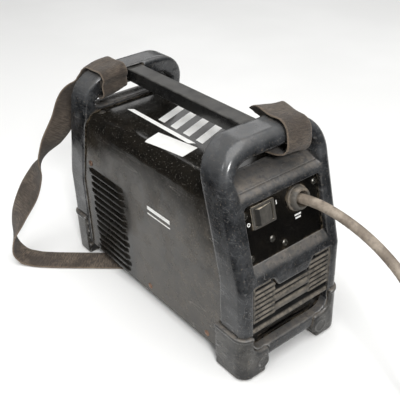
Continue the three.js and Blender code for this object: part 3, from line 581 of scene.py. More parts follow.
def end_frame(with_tab, depth):
    def distance(x, y, z):
        up = lean_in(y, z)
        outline = rectangle(x, z, (-74, 15), (74, 275), 10, 42)
        body = slab(outline, up, 157, 20, np.where(up > 157, 10, 5))
        arch = slab(rectangle(x, z, (-200, 231), (200, 275), 8, 12), up, 157, 20, 9)
        body = np.where(z > 250, both(body, arch, 2), body)
        slot_top, soft = (255, 8) if with_tab else (251, 5)
        wide = np.abs(x)
        over = both(231 - (up - 153) * 0.38 - z, z - 238)
        slope = both((147 - z) - (up - 169.5) * 1.3, z - 149)
        opening = rectangle(x, z, (-58, 36), (58, 125), 17, 2)
        if with_tab:
            opening = without(opening, tab(x, z), 1)
        plane = y - 165.3 + SLOPE * np.maximum(z - PANEL_BEND_Z, 0)
        sleeve = rectangle(x, z, (-71.8, 18.7), (71.8, 226.3), 1, 20.3)
        for cut, soft_edge in (
                (rectangle(x, z, (-57, 231), (57, slot_top), 9, 19), soft),  # hand slot
                (both(over, wide - 56, 1), 5),  # its sloping floor
                (rectangle(x, z, (-54, 147), (54, 212), 5), 2.5),  # window of the panel
                (both(both(slope * 0.6, wide - 54, 1), 168 - up), 2),  # sill of the window
                (opening, 3),
                (both(both(wide - 60.3, plane), both(z - 224, 22 - z)), 0),  # room for the panel
                (both(sleeve, up - 145.3), 1),  # lap over the cover
                (both(both(wide - 12, np.abs(z - 263) - 9), y - 115.5), 3),  # end of the bar
                (both(bumper_block(x, y, z, depth) - 0.5, 12 - wide), 0)):
            body = without(body, cut, soft_edge)
        return body
    return distance


FRAME_BOX = ((-77, 97, 12), (77, 181, 277))
for name, depth, turn, has_tab in (("mains", 47, Matrix.Identity(4), True),
                                   ("control", 33.5, HALF_TURN, False)):
    shape = skin(end_frame(has_tab, depth), *FRAME_BOX, 1.25)
    piece(f"{name}_end_moulding", *shape, FRAME, "frame_plastic", turn,
          replaces=(f"{name}_frame",))
    for label, side in (("left", 1), ("right", -1)):
        box = sorted((side * 33, side * 79))
        shape = skin(bumper(side, depth), (box[0], 177 - depth, -1), (box[1], 182, 64), 0.9)
        piece(f"{name}_corner_{label}", *shape, BUMPER, "bumper_rubber", turn,
              replaces=(f"{name}_bumper_{label}",))


# ---- louvre
def blades(along, first, pitch, count, thick):
    row = along - first
    row = row - pitch * np.clip(np.round(row / pitch), 0, count - 1)
    return np.abs(row) - thick / 2


def louvre(x, y, z):
    """Two columns of narrow blades and one of wide ones between angular dividers; every blade
    falls outwards."""
    side = np.abs(x)
    tilted = z + (y - 171) * 0.75
    plate = slab(rectangle(x, z, (-57.6, 62), (57.6, 124.6), 1), y, 170.6, 5.0, 1)
    row = np.clip(np.round((tilted - 79) / 6.6), 0, 6)
    inset = 27.5 + 3.4 * np.abs(row % 4 - 1.5)
    column = both(span(side, inset, 55.2), span(z, 75.4, 122.6))
    middle = both(side - 24.5, span(z, 76, 111))
    body = without(without(plate, column, 1), middle, 1.5)
    # the dividers stand back from the rim and their edges are broken by the rows
    groove = both(span(side, 23, 33), 174.2 - y - 0.35 * np.abs(side - 27))
    body = without(body, both(groove, 76.5 - z), 1)
    reach = both(span(y, 166, 175.4), span(z, 74, 123.5))
    narrow = both(both(blades(tilted, 79, 6.6, 7, 2.7) * 0.8, reach, 0.9), span(side, 26, 56))
    wide = both(both(blades(tilted, 83.5, 13.2, 2, 8.6) * 0.8, reach, 2.5), side - 26)
    thin = both(both(blades(tilted, 106, 13.2, 1, 2.6) * 0.8, reach, 0.9), side - 26)
    body = either(either(either(body, narrow, 0.6), wide, 0.8), thin, 0.5)
    # a sill along the bottom whose top slopes outwards
    slope = (y - 175.6) * 0.9 + (z - 64) * 0.42
    body = without(body, both(both(-slope, z - 75.5), 60 - z), 1)
    return without(body, tab(x, z) - 1.2, 0.5)


shape = skin(louvre, (-59, 163, 60), (59, 178, 127), 0.7)
piece("louvre_moulding", *shape, LOUVRE, "frame_plastic", replaces=("vent_louvre",))


# ---- steel cover
def cover_outline(inset, steps=14):
    """Half of the folded sheet in X and Z, from the foot up to the middle of the top."""
    half, top, radius = COVER_HALF - inset, COVER_TOP - inset, COVER_RADIUS - inset
    points = [(half, 19), (half, 110)]
    for i in range(1, 9):
        points.append((half - 1.6 * (i / 8) ** 2, 110 + 12 * i))
    for i in range(1, steps + 1):
        a = math.pi / 2 * i / steps
        points.append((half - radius + radius * math.cos(a) - 1.6 * (1 - i / steps),
                       top - radius + radius * math.sin(a)))
    points += [(30, top), (0, top)]
    return points


def cover():
    """A folded sheet; the rows of pressed louvres low on both sides are added to it afterwards."""
    bm = bmesh.new()
    outer = cover_outline(0)
    inner = cover_outline(SHEET)
    ring = outer + [(-x, z) for x, z in reversed(outer[:-1])]
    back = inner + [(-x, z) for x, z in reversed(inner[:-1])]
    section = ring + list(reversed(back))
    ends = []
    for sign in (-1, 1):
        ends.append([bm.verts.new((x, sign * (145 - SLOPE * max(0, z - KINK_Z)), z))
                     for x, z in section])
    count, half = len(section), len(ring)
    for i in range(count):
        j = (i + 1) % count
        bm.faces.new((ends[0][i], ends[0][j], ends[1][j], ends[1][i]))
    for end in ends:
        for i in range(half - 1):
            bm.faces.new((end[i], end[i + 1], end[count - 2 - i], end[count - 1 - i]))
    return bm


VENTS = [(22 + 10 * row, -124 + 1.5 * (row % 3), -45 + 1.8 * ((row * 2) % 3))
         for row in range(13)]


def vent(x_side, z, y0, y1):
    """A lip pressed out of the sheet over a slot, pointed at its ends."""
    vertices, faces = [], []
    steps, profile = 14, ((0.0, 7.6), (1.6, 6.6), (3.0, 4.4), (3.4, 2.2), (3.2, 1.2), (0.0, 1.6))
    for i in range(steps + 1):
        t = i / steps
        swell = math.sin(math.pi * min(1, max(0, 0.5 * min(t, 1 - t) * 12))
                         if min(t, 1 - t) < 1 / 12 else math.pi / 2)
        for out, height in profile:
            vertices.append((x_side * (71.3 + out * swell + 0.1), y0 + (y1 - y0) * t,
                             z + 4 + (height - 4) * (0.35 + 0.65 * swell)))
    n = len(profile)
    for i in range(steps):
        for j in range(n - 1):
            a = i * n + j
            face = (a, a + 1, a + n + 1, a + n)
            faces.append(face if x_side > 0 else face[::-1])
    return vertices, faces


bm = cover()
cover_piece = from_bmesh("folded_cover", bm, COVER, "case_paint", replaces=("case_cover",))
cutters = bmesh.new()
for z, y0, y1 in VENTS:
    made = bmesh.ops.create_cube(cutters, size=1)["verts"]
    bmesh.ops.scale(cutters, vec=(200, y1 - y0 - 8, 2.6), verts=made)
    bmesh.ops.translate(cutters, vec=(0, (y0 + y1) / 2, z + 2.6), verts=made)
mesh = as_mesh("vent_cutters", cutters)
mesh.transform(TO_FRAME)
cutter = added("vent_cutters", mesh)
boolean = cover_piece.modifiers.new("slots", "BOOLEAN")
boolean.object, boolean.solver = cutter, "EXACT"
settled = bpy.data.meshes.new_from_object(
    cover_piece.evaluated_get(bpy.context.evaluated_depsgraph_get()))
cover_piece.modifiers.clear()
cover_piece.data = settled
bpy.data.objects.remove(cutter)
by_angle(cover_piece, 30)

for side, label in ((1, "left"), (-1, "right")):
    vertices, faces = [], []
    for z, y0, y1 in VENTS:
        v, f = vent(side, z, y0, y1)
        faces += [tuple(i + len(vertices) for i in face) for face in f]
        vertices += v
    piece(f"side_louvres_{label}", vertices, faces, LIPS, "case_paint")

# ---- small parts on the panels
CONTROL = HALF_TURN @ PANEL


def on_panel(x, z, end=PANEL):
    return end @ moved(x, 0, z)


def lathe(profile, segments=48, flutes=0, flute_depth=0.0, fluted=()):
    """Vertices and faces turned about Y from [radius, y] points; listed points may be fluted."""
    vertices, rings = [], []
    for number, (r, y) in enumerate(profile):
        if r == 0:
            rings.append([len(vertices)] * segments)
            vertices.append((0, y, 0))
            continue
        rings.append(range(len(vertices), len(vertices) + segments))
        for i in range(segments):
            a = 2 * math.pi * i / segments
            cut = flute_depth * max(0, math.cos(flutes * a)) ** 2 if number in fluted else 0
            vertices.append(((r - cut) * math.cos(a), y, (r - cut) * math.sin(a)))
    faces = []
    for a, b in zip(rings, rings[1:]):
        for i in range(segments):
            j = (i + 1) % segments
            corners = (a[i], b[i], b[j], a[j])
            faces.append(tuple(dict.fromkeys(corners)))
    return vertices, faces


def turned(name, profile, material, slot, place, sharp=35, flutes=(0, 0.0, ()), **options):
    shape = lathe(profile, 72 if flutes[0] else 48, *flutes)
    return by_angle(piece(name, *shape, material, slot, place, **options), sharp)


def carved(name, distance, box, step, material, slot, place, sharp=40, **options):
    shape = skin(distance, *box, step)
    return by_angle(piece(name, *shape, material, slot, place, **options), sharp)


def bezel(x, y, z):
    frame_part = slab(rectangle(x, z, (-16, -12.7), (16, 12.7), 1.6), y, 1.4, 1.1, 0.7)
    back = both(rectangle(x, z, (-14, -11), (14, 11), 0.5), span(y, -20, 1))
    well = both(rectangle(x, z, (-12.6, -9.7), (12.6, 9.7), 0.6), -9.5 - y)
    return without(either(frame_part, back), well, 0.5)


def rocker(x, y, z):
    """A wedge: a steep face on the +X side and a long one falling away from its ridge."""
    faces = both((y - 9.2 - (8 - x) * 1.35) * 0.6, y - 9.2 + (8 - x) * 0.2, 0.4)
    body = both(np.hypot(x, y) - 12.2, faces, 0.4)
    tilt = math.radians(10)
    body = both(body, -2.95 - (y * math.cos(tilt) - x * math.sin(tilt)), 0.5)
    return both(body, np.abs(z) - 9.3, 0.7)


def pan_head(x, y, z):
    """A domed screw head with a cross recess, and the start of its shank."""
    dome = both(np.sqrt(x * x + (y + 2.03) ** 2 + z * z) - 4.63, 0.3 - y, 0.3)
    arm = np.minimum(both(np.abs(x) - 0.7, np.abs(z) - 2.5), both(np.abs(z) - 0.7, np.abs(x) - 2.5))
    dome = without(dome, both(arm, 1.2 + 0.2 * np.hypot(x, z) - y), 0.15)
    return either(dome, both(np.hypot(x, z) - 2, span(y, -7, 1)))


def knob(x, y, z):
    """A tapered grip with flutes round it and a raised pointer."""
    r, a = np.hypot(x, z), np.arctan2(z, x)
    flute = 0.9 * np.clip(np.cos(14 * a), -0.2, 1) * np.clip((y - 5) / 2, 0, 1)
    body = both(r - 14.6 + flute + 0.13 * (y - 5), span(y, 2, 18.4), 1.2)
    skirt = slab(r - 15, y, 3.6, 1.6, 0.8)
    body = either(body, skirt, 0.5)
    body = without(body, both(r - 10, 18 - y, 0.6), 0.6)
    body = either(body, both(both(np.abs(x) - 1, span(z, 1.5, 12)), y - 19.1, 0.5), 0.4)
    return without(body, both(r - 3.4, y - 12))


def button(x, y, z):
    body = slab(np.hypot(x, z) - 4.7, y, -0.5, 3.5, 0.9)
    body = without(body, np.sqrt(x * x + (y - 14) ** 2 + z * z) - 11.4, 0.3)
    return either(body, slab(np.hypot(x, z) - 6.5, y, -4.75, 1.25, 0.3))


carved("switch_bezel", bezel, ((-17, -21, -14), (17, 4, 14)), 0.5, SWITCH, "control_plastic",
       on_panel(26.3, 51), replaces=("switch_body",))
carved("rocker_key", rocker, ((-13.5, -6, -10), (13.5, 10.5, 10)), 0.4, SWITCH, "control_plastic",
       on_panel(26.3, 51) @ moved(0, -3, 0), body="rocker",
       replaces=("switch_rocker",))
turned("gland_dome", [(6.0, -13), (10, -13), (10, 0.4), (14.1, 0.4), (14.4, 0.9), (14.4, 3.2),
                      (13.9, 3.8), (13.2, 3.9), (13.2, 4.7), (13.0, 6.6), (12.4, 8.6),
                      (11.4, 10.0), (10.2, 10.6), (9.2, 10.6), (8.6, 10.0), (8.2, 7),
                      (6.4, 2), (6.0, -13)],
       GLAND, "gland_plastic", on_panel(CORD_X, 51), 30, (12, 0.5, (8, 9, 10)),
       replaces=("cable_gland",))

screw_shape = skin(pan_head, (-4.6, -7.4, -4.6), (4.6, 3, 4.6), 0.23)
MAINS_SCREWS = ((-49.5, 59), (49.5, 57), (49.5, 9), (18.7, 19.2), (2.7, 7.8))
CONTROL_SCREWS = ((-49.5, 59), (49.5, 59), (-49.5, 9), (49.5, 9))
for end, space, places in (("mains", PANEL, MAINS_SCREWS), ("control", CONTROL, CONTROL_SCREWS)):
    for i, (x, z) in enumerate(places):
        turn = turned_about("Y", 0.5 + 1.3 * i)
        by_angle(piece(f"{end}_screw_head_{i + 1}", *screw_shape, ZINC, "zinc",
                       on_panel(x, z, space) @ turn,
                       replaces=(f"{end}_panel_screw_{i + 1}",)), 40)

carved("amperage_knob", knob, ((-16, 1, -16), (16, 20, 16)), 0.5, KNOB, "control_plastic",
       on_panel(-26, 36, CONTROL), body="knob", replaces=("current_knob",))
carved("round_button", button, ((-7, -6.5, -7), (7, 4, 7)), 0.3, KNOB, "control_plastic",
       on_panel(22, 22, CONTROL), body="button", replaces=("mode_button",))
LAMP = [(0, -5), (2.5, -5), (2.5, 0.6), (2.4, 1.6), (1.8, 2.6), (1.0, 3.1), (0, 3.3)]
for name, color, slot, x in (("power", GREEN, "lens_green", -26),
                             ("fault", AMBER, "lens_amber", -12)):
    turned(f"lens_of_led_{name}", LAMP, color, slot, on_panel(x, 64, CONTROL), 60,
           replaces=(f"led_{name}",))


# ---- carrying bar
def rounded(corners, steps):
    """Points round four corners in X and Z, each with the direction it faces."""
    points = []
    for number, (x, z, radius) in enumerate(corners):
        for i in range(steps + 1):
            a = math.radians(90 * (number - 1) + 90 * i / steps)
            points.append((x + radius * math.cos(a), z + radius * math.sin(a),
                           math.cos(a), math.sin(a)))
    return points


def swept(section, stations):
    """A section in X and Z pushed along Y; each station is y and how much to draw it in."""
    vertices, faces = [], []
    count = len(section)
    mx = sum(p[0] for p in section) / count
    mz = sum(p[1] for p in section) / count
    for y, draw in stations:
        vertices += [(x - math.copysign(min(draw, abs(x - mx)), x - mx), y,
                      z - math.copysign(min(draw, abs(z - mz)), z - mz)) for x, z in section]
    for s in range(len(stations) - 1):
        for i in range(count):
            j = (i + 1) % count
            a, b = s * count, (s + 1) * count
            faces.append((a + i, b + i, b + j, a + j))
    last = (len(stations) - 1) * count
    faces.append(tuple(range(count)))
    faces.append(tuple(last + i for i in reversed(range(count))))
    return vertices, faces


BAR_HALF, BAR_LOW, BAR_HIGH, LOWER, UPPER = 11, 255, 271, 1.5, 2.2
section = [point[:2] for point in rounded((
    (BAR_HALF - LOWER, BAR_LOW + LOWER, LOWER), (BAR_HALF - UPPER, BAR_HIGH - UPPER, UPPER),
    (UPPER - BAR_HALF, BAR_HIGH - UPPER, UPPER), (LOWER - BAR_HALF, BAR_LOW + LOWER, LOWER)), 6)]
stations = [(-115, 0.8), (-114.2, 0)] + [(y, 0) for y in range(-100, 101, 20)] \
    + [(114.2, 0), (115, 0.8)]
by_angle(piece("carrying_bar", *swept(section, stations), HANDLE, "handle_paint",
               replaces=("handle_bar",)), 50)

# ---- screws of the cover
flush = [(0, -1.5), (3.9, -1.5), (4.0, 0.0), (3.8, 0.35), (3.0, 0.75), (1.4, 0.95), (1.1, 0.3),
         (0, 0.2)]
TOP = turned_about("X", math.pi / 2)
for i, (x, y) in enumerate(((52, 106), (-52, 106), (52, -106), (-52, -106))):
    turned(f"cover_screw_{i + 1}", flush, KNOB, "zinc",
           moved(x, y, 225.95) @ TOP, 30)
for i, (side, y, z) in enumerate(((1, -1, 28), (1, -118, 156), (1, 112, 28), (-1, 1, 28),
                                  (-1, -118, 156), (-1, 112, 28))):
    turned(f"side_screw_{i + 1}", flush, RUST, "zinc",
           moved(side * COVER_HALF, y, z) @ turned_about("Z", -side * math.pi / 2),
           30)


# ---- printed marks
def marks(name, outlines, material, place, slot="panel_paint", thickness=0.12, **options):
    """Thin raised print: closed outlines in X and Z on the plane y = 0."""
    vertices, faces = [], []
    for outline in outlines:
        count, first = len(outline), len(vertices)
        vertices += [(x, y, z) for y in (0.02, thickness) for x, z in outline]
        faces.append(tuple(first + i for i in range(count)))
        faces.append(tuple(first + count + i for i in reversed(range(count))))
        for i in range(count):
            j = (i + 1) % count
            faces.append((first + j, first + i, first + count + i, first + count + j))
    return piece(name, vertices, faces, material, slot, place, smooth=False, **options)


def bar_mark(x, z, width, height):
    return [(x - width / 2, z - height / 2), (x - width / 2, z + height / 2),
            (x + width / 2, z + height / 2), (x + width / 2, z - height / 2)]


def ring_marks(x, z, radius, width, segments=24):
    step = 2 * math.pi / segments
    def point(i, r):
        return (x + r * math.sin(i * step), z + r * math.cos(i * step))
    return [[point(i, radius - width / 2), point(i, radius + width / 2),
             point(i + 1, radius + width / 2), point(i + 1, radius - width / 2)]
            for i in range(segments)]


# mains end: a ring and a bar for off and on, and two plain bars under the gland
marks("print_of_switch", ring_marks(46.2, 46, 1.7, 0.9) + [bar_mark(6.2, 56, 1.1, 4.6)],
      PRINT, PANEL)
marks("print_of_gland", [bar_mark(-21, 31.5, 9.5, 1.9), bar_mark(-21, 28, 8, 1.9)], PRINT, PANEL)

ticks = []
for i in range(11):
    a = math.radians(-135 + 27 * i)
    u, v = (math.sin(a), math.cos(a)), (math.cos(a), -math.sin(a))
    long = 3.2 if i % 5 == 0 else 2.0
    ticks.append([(-26 + u[0] * r + v[0] * s, 36 + u[1] * r + v[1] * s)
                  for r, s in ((17.2, -0.3), (17.2 + long, -0.3), (17.2 + long, 0.3), (17.2, 0.3))])
marks("print_of_dial", ticks, PRINT, CONTROL)
marks("print_of_button", ring_marks(22, 22, 9, 0.6, 36), PRINT, CONTROL)
SOCKET_SIGNS = moved(0, PANEL_Y, 0)
marks("print_of_sockets", [bar_mark(30, 102, 7, 1.8), bar_mark(30, 104, 1.8, 2.2),
                           bar_mark(30, 100, 1.8, 2.2), bar_mark(-30, 102, 7, 1.8)],
      PRINT, HALF_TURN @ SOCKET_SIGNS)

# top of the cover: plain slanting stripes and a blank label


def cover_height(x):
    over = max(0.0, abs(x) - (COVER_HALF - COVER_RADIUS))
    return COVER_TOP - COVER_RADIUS + math.sqrt(COVER_RADIUS ** 2 - over * over)


def on_top(name, outlines, material, thickness=0.12, **options):
    """Print or a label on top of the cover, cut fine enough to follow its shoulder."""
    bm = bmesh.new()
    for outline in outlines:
        bm.faces.new([bm.verts.new((x, y, 0)) for x, y in outline])
    for x in range(-56, 60, 2):
        bmesh.ops.bisect_plane(bm, geom=bm.verts[:] + bm.edges[:] + bm.faces[:],
                               plane_co=(x, 0, 0), plane_no=(1, 0, 0))
    bmesh.ops.recalc_face_normals(bm, faces=bm.faces)
    for face in bm.faces:
        if face.normal.z < 0:
            face.normal_flip()
    made = bmesh.ops.extrude_face_region(bm, geom=bm.faces[:])
    raised = [v for v in made["geom"] if isinstance(v, bmesh.types.BMVert)]
    bmesh.ops.translate(bm, vec=(0, 0, thickness), verts=raised)
    for v in bm.verts:
        v.co.z += cover_height(v.co.x) + 0.03
    return from_bmesh(name, bm, material, "case_paint", smooth=False, **options)


def slanted(x0, x1, y, width, slant):
    return [(x0, y), (x1, y + slant), (x1, y + slant + width), (x0, y + width)]


stripes = [[(19, -86), (25, -92), (25, 30), (19, 36)]] + [
    slanted(14, -30, -42 + 24 * i, 12, -16) for i in range(5)]
on_top("print_of_stripes", stripes, PRINT)
on_top("blank_label", [[(58, -7), (34, -14), (24, 46), (49, 51)]], VINYL, 0.25)
SIDE = moved(COVER_HALF, 0, 0) @ turned_about("Z", -math.pi / 2)
marks("print_of_side", [bar_mark(-29, 150, 44, 5), bar_mark(-29, 142, 44, 1.8)], PRINT,
      SIDE, "case_paint")


# ---- smooth lines through points
def centripetal(points, per_span):
    """A centripetal Catmull-Rom line through the points."""
    p = [np.array(q, float) for q in points]
    p = [2 * p[0] - p[1]] + p + [2 * p[-1] - p[-2]]
    line = []
    for a, b, c, d in zip(p, p[1:], p[2:], p[3:]):
        t0 = 0.0
        t1 = t0 + max(1e-4, np.linalg.norm(b - a)) ** 0.5
        t2 = t1 + max(1e-4, np.linalg.norm(c - b)) ** 0.5
        t3 = t2 + max(1e-4, np.linalg.norm(d - c)) ** 0.5
        for i in range(per_span):
            t = t1 + (t2 - t1) * i / per_span
            ab = (a * (t1 - t) + b * (t - t0)) / (t1 - t0)
            bc = (b * (t2 - t) + c * (t - t1)) / (t2 - t1)
            cd = (c * (t3 - t) + d * (t - t2)) / (t3 - t2)
            abc = (ab * (t2 - t) + bc * (t - t0)) / (t2 - t0)
            bcd = (bc * (t3 - t) + cd * (t - t1)) / (t3 - t1)
            line.append((abc * (t2 - t) + bcd * (t - t1)) / (t2 - t1))
    return np.array(line + [p[-2]])


def uniform(points, per_span):
    """A plain Catmull-Rom line, for directions."""
    p = [np.array(q, float) for q in points]
    p = [2 * p[0] - p[1]] + p + [2 * p[-1] - p[-2]]
    line = []
    for a, b, c, d in zip(p, p[1:], p[2:], p[3:]):
        for i in range(per_span):
            t = i / per_span
            line.append(b + 0.5 * t * (c - a + t * (2 * a - 5 * b + 4 * c - d
                                                    + t * (3 * (b - c) + d - a))))
    return np.array(line + [p[-2]])


# ---- mains lead
CORD_RUN = [
    (CORD_X, 154.2, 193.9), (CORD_X, 170, 197.6), (CORD_X, 188, 200), (CORD_X, 208, 200),
    (CORD_X, 230, 197.4), (CORD_X, 252, 192.2), (CORD_X, 272, 184.4), (CORD_X, 291, 173.6),
    (CORD_X, 308, 159), (CORD_X, 321.5, 141), (CORD_X, 331, 120), (CORD_X, 337, 97),
    (CORD_X, 341.5, 73), (CORD_X, 346, 50), (CORD_X, 353, 30), (CORD_X, 364, 15),
    (CORD_X, 379, 7.4), (CORD_X, 391, 5.8), (CORD_X, 400, 5.7), (CORD_X, 421, 5.7)]
PLUG_X, PLUG_Y, PLUG_Z = -158, 510.5, 19
CORD_TAIL = [(-104, PLUG_Y, 16.7), (-118, PLUG_Y, 16.6), (-131, PLUG_Y, 16.6),
             (-137, PLUG_Y, 16.9), (-144, PLUG_Y, 17.7), (-150, PLUG_Y, 18.6),
             (-154, PLUG_Y, PLUG_Z), (-157.9, PLUG_Y, PLUG_Z)]
COIL_OUTER, COIL_INNER, COIL_PITCH = 68.5, 41.0, 11
COIL_LOW, COIL_HIGH = 5.7, 16.7


def coil_point(u):
    """Turns counted from the outside: in along the lower layer, up, and out on top of it."""
    if u < 2.5:
        r, z = COIL_OUTER - COIL_PITCH * u, COIL_LOW
    elif u < 2.75:
        r = COIL_INNER
        z = COIL_LOW + (COIL_HIGH - COIL_LOW) * 0.5 * (1 - math.cos(math.pi * (u - 2.5) / 0.25))
    else:
        r, z = COIL_INNER + COIL_PITCH * (u - 2.75), COIL_HIGH
    a = 2 * math.pi * u
    return (COIL_CENTRE[0] + r * math.cos(a), COIL_CENTRE[1] + r * math.sin(a), z)


COIL_TURNS, PER_TURN = 5.25, 24
COIL_POINTS = [coil_point(i / PER_TURN) for i in range(int(COIL_TURNS * PER_TURN) + 1)]
cord_line = centripetal(CORD_RUN + COIL_POINTS + CORD_TAIL, 3)
cord_curve = bpy.data.curves.new("mains_lead", "CURVE")
cord_curve.dimensions = "3D"
cord_curve.bevel_depth = CORD_RADIUS / 1000
cord_curve.bevel_resolution = 4
cord_curve.use_fill_caps = True
spline = cord_curve.splines.new("POLY")
spline.points.add(len(cord_line) - 1)
for point, where in zip(spline.points, cord_line):
    point.co = (*at(*where), 1)
cord_curve.materials.append(JACKET)
lead = added("mains_lead", cord_curve)
finish(lead, "cord_rubber", replaces=("mains_cord_run", "mains_cord_coil", "mains_cord_tail"))

# plug: ribbed sleeve, then a round body with finger grips
LYING = moved(PLUG_X, PLUG_Y, PLUG_Z) @ turned_about("Z", math.pi / 2)
profile = [(0, 0.3), (6.6, 0.3), (7.2, 1.2)]
for i in range(6):
    y = 3 + 4.4 * i
    profile += [(7.4, y), (7.4, y + 1.6), (6.5, y + 2.2), (6.5, y + 3.8)]
profile += [(7.6, 30), (9.4, 33.5), (14.6, 38.5), (17.4, 41.4), (18.3, 44), (18.4, 50), (18.4, 62),
            (18.6, 66), (18.2, 68.6), (17.2, 69.8), (16, 70), (0, 70)]
plug = turned("round_mains_plug", profile, KNOB, "control_plastic", LYING, 32,
              (16, 1.3, (31, 32, 33)), replaces=("mains_plug",))
for i, side in enumerate((9.5, -9.5)):
    place = moved(PLUG_X, PLUG_Y + side, PLUG_Z) @ turned_about("Z", math.pi / 2)
    turned(f"plug_pin_{i + 1}", [(0, 70.1), (2.4, 70.1), (2.4, 86.4), (2.2, 87.6),
                                             (1.5, 88.6), (0.6, 89), (0, 89)],
                       BRASS, "brass", place, 60, replaces=(f"mains_plug_pin_{i + 1}",))


def tie(name, angle, width=9, thick=1.1):
    """A hook-and-loop strip round the coil's section at one angle."""
    a = math.radians(angle)
    centre = np.array([*COIL_CENTRE, 0])
    out = np.array([math.cos(a), math.sin(a), 0])
    round_it = np.array([-math.sin(a), math.cos(a), 0])
    inner, outer, low_z, high_z = 33.4, 74.0, 0.15, 22.9
    r = 5.2
    loop = rounded(((outer - r, low_z + r, r), (outer - r, high_z - r, r),
                    (inner + r, high_z - r, r), (inner + r, low_z + r, r)), 6)
    vertices, faces = [], []
    for side in (-width / 2, width / 2):
        for grow in (0, thick):
            for u, z, nu, nz in loop:
                p = centre + out * (u + nu * grow * 0.4) + round_it * side \
                    + np.array([0, 0, max(0.1, z + nz * grow)])
                vertices.append(p)
    n = len(loop)
    for i in range(n):
        j = (i + 1) % n
        a0, b0, a1, b1 = i, n + i, 2 * n + i, 3 * n + i
        c0, d0, c1, d1 = j, n + j, 2 * n + j, 3 * n + j
        faces += [(a0, a1, c1, c0), (b0, d0, d1, b1), (a0, c0, d0, b0), (a1, b1, d1, c1)]
    return by_angle(piece(name, vertices, faces, TIE, "webbing"), 40)


coil_tie = tie("coil_tie", 200)

# ---- shoulder strap
STRAP_STATIONS = [
    # x, y, z and the direction across: the loop round the arch at the control end
    (41, -157, 235, 1, 0, -0.24), (35, -150.5, 243.5, 1, 0, -0.24),
    (34, -140, 247.6, 1, 0, -0.24), (35, -122, 248, 1, 0, -0.24), (35, -106, 248, 1, 0, -0.24),
    (35, -100.5, 253, 1, 0, -0.24), (35, -100, 263, 1, 0, -0.2), (35, -97.8, 271, 1, 0, -0.17),
    (35, -102, 277, 1, 0, -0.15), (35, -120, 276.9, 1, 0, -0.15),
    (35, -138, 276.4, 1, 0, -0.16), (35.5, -146, 270.8, 1, 0, -0.2),
    (37, -150.8, 263, 1, 0, -0.25),
    # the free run down to the surface, turning half over
    (42, -157.5, 251, 1, 0, -0.25), (53.5, -164.5, 239, 1, -0.1, -0.2),
    (63, -169, 224, 1, -0.2, -0.15), (73, -173, 199, 1, -0.2, -0.1),
    (92, -180, 170, 0.99, 0.1, 0), (104, -186, 151, 0.8, 0.6, 0), (114, -190, 130, 0.1, 1, 0),
    (129, -196, 100, -0.32, 0.95, 0), (147, -204, 65, -0.05, 1, 0),
    (157, -208, 38, 0.4, 0.92, 0), (158, -206, 16, 0.62, 0.78, 0),
    (152, -198, 4.5, 0.64, 0.77, 0), (142, -184, 1.6, 0.66, 0.75, 0),
    (128, -168.2, 1.6, 0.67, 0.74, 0), (104, -145.8, 1.6, 0.67, 0.74, 0),
    (62, -107.8, 1.6, 0.67, 0.74, 0),
    # under the body and out at the far side
    (22, -71.5, 1.6, 0.67, 0.74, 0), (-26, -28.1, 1.6, 0.67, 0.74, 0),
    (-66, 8.1, 1.6, 0.67, 0.74, 0), (-92, 31.7, 1.6, 0.68, 0.73, 0),
    (-106, 43, 6, 0.7, 0.71, 0), (-113, 50, 17, 0.7, 0.71, 0), (-114, 54, 36, 0.65, 0.76, 0),
    (-111, 60, 70, 0.5, 0.86, 0), (-106, 62, 115, 0.25, 0.97, 0),
    (-99, 62, 160, -0.05, 0.99, 0), (-95, 60, 200, -0.4, 0.9, 0),
    (-83, 61, 234, -0.85, 0.5, -0.1), (-60, 70, 256, -1, 0.15, -0.25),
    # the loop round the arch at the mains end
    (-41, 84, 269, -1, 0, -0.2), (-33, 100, 277.3, -1, 0, -0.14), (-30, 120, 277, -1, 0, -0.12),
    (-28, 138, 276.4, -1, 0, -0.12), (-27, 146.2, 270.8, -1, 0, -0.16),
    (-26, 150, 261, -1, 0, -0.2), (-25, 150.5, 252, -1, 0, -0.2),
    (-23, 146, 245.5, -1, 0, -0.18), (-20, 133, 242, -1, 0, -0.16),
    (-20, 117, 241.5, -1, 0, -0.16), (-25, 102.5, 245, -1, 0, -0.18),
    (-31, 98.2, 254, -1, 0, -0.14), (-33, 98, 262, -1, 0, -0.12),
]
STRAP_HALF, STRAP_THICK = 17.5, 1.9


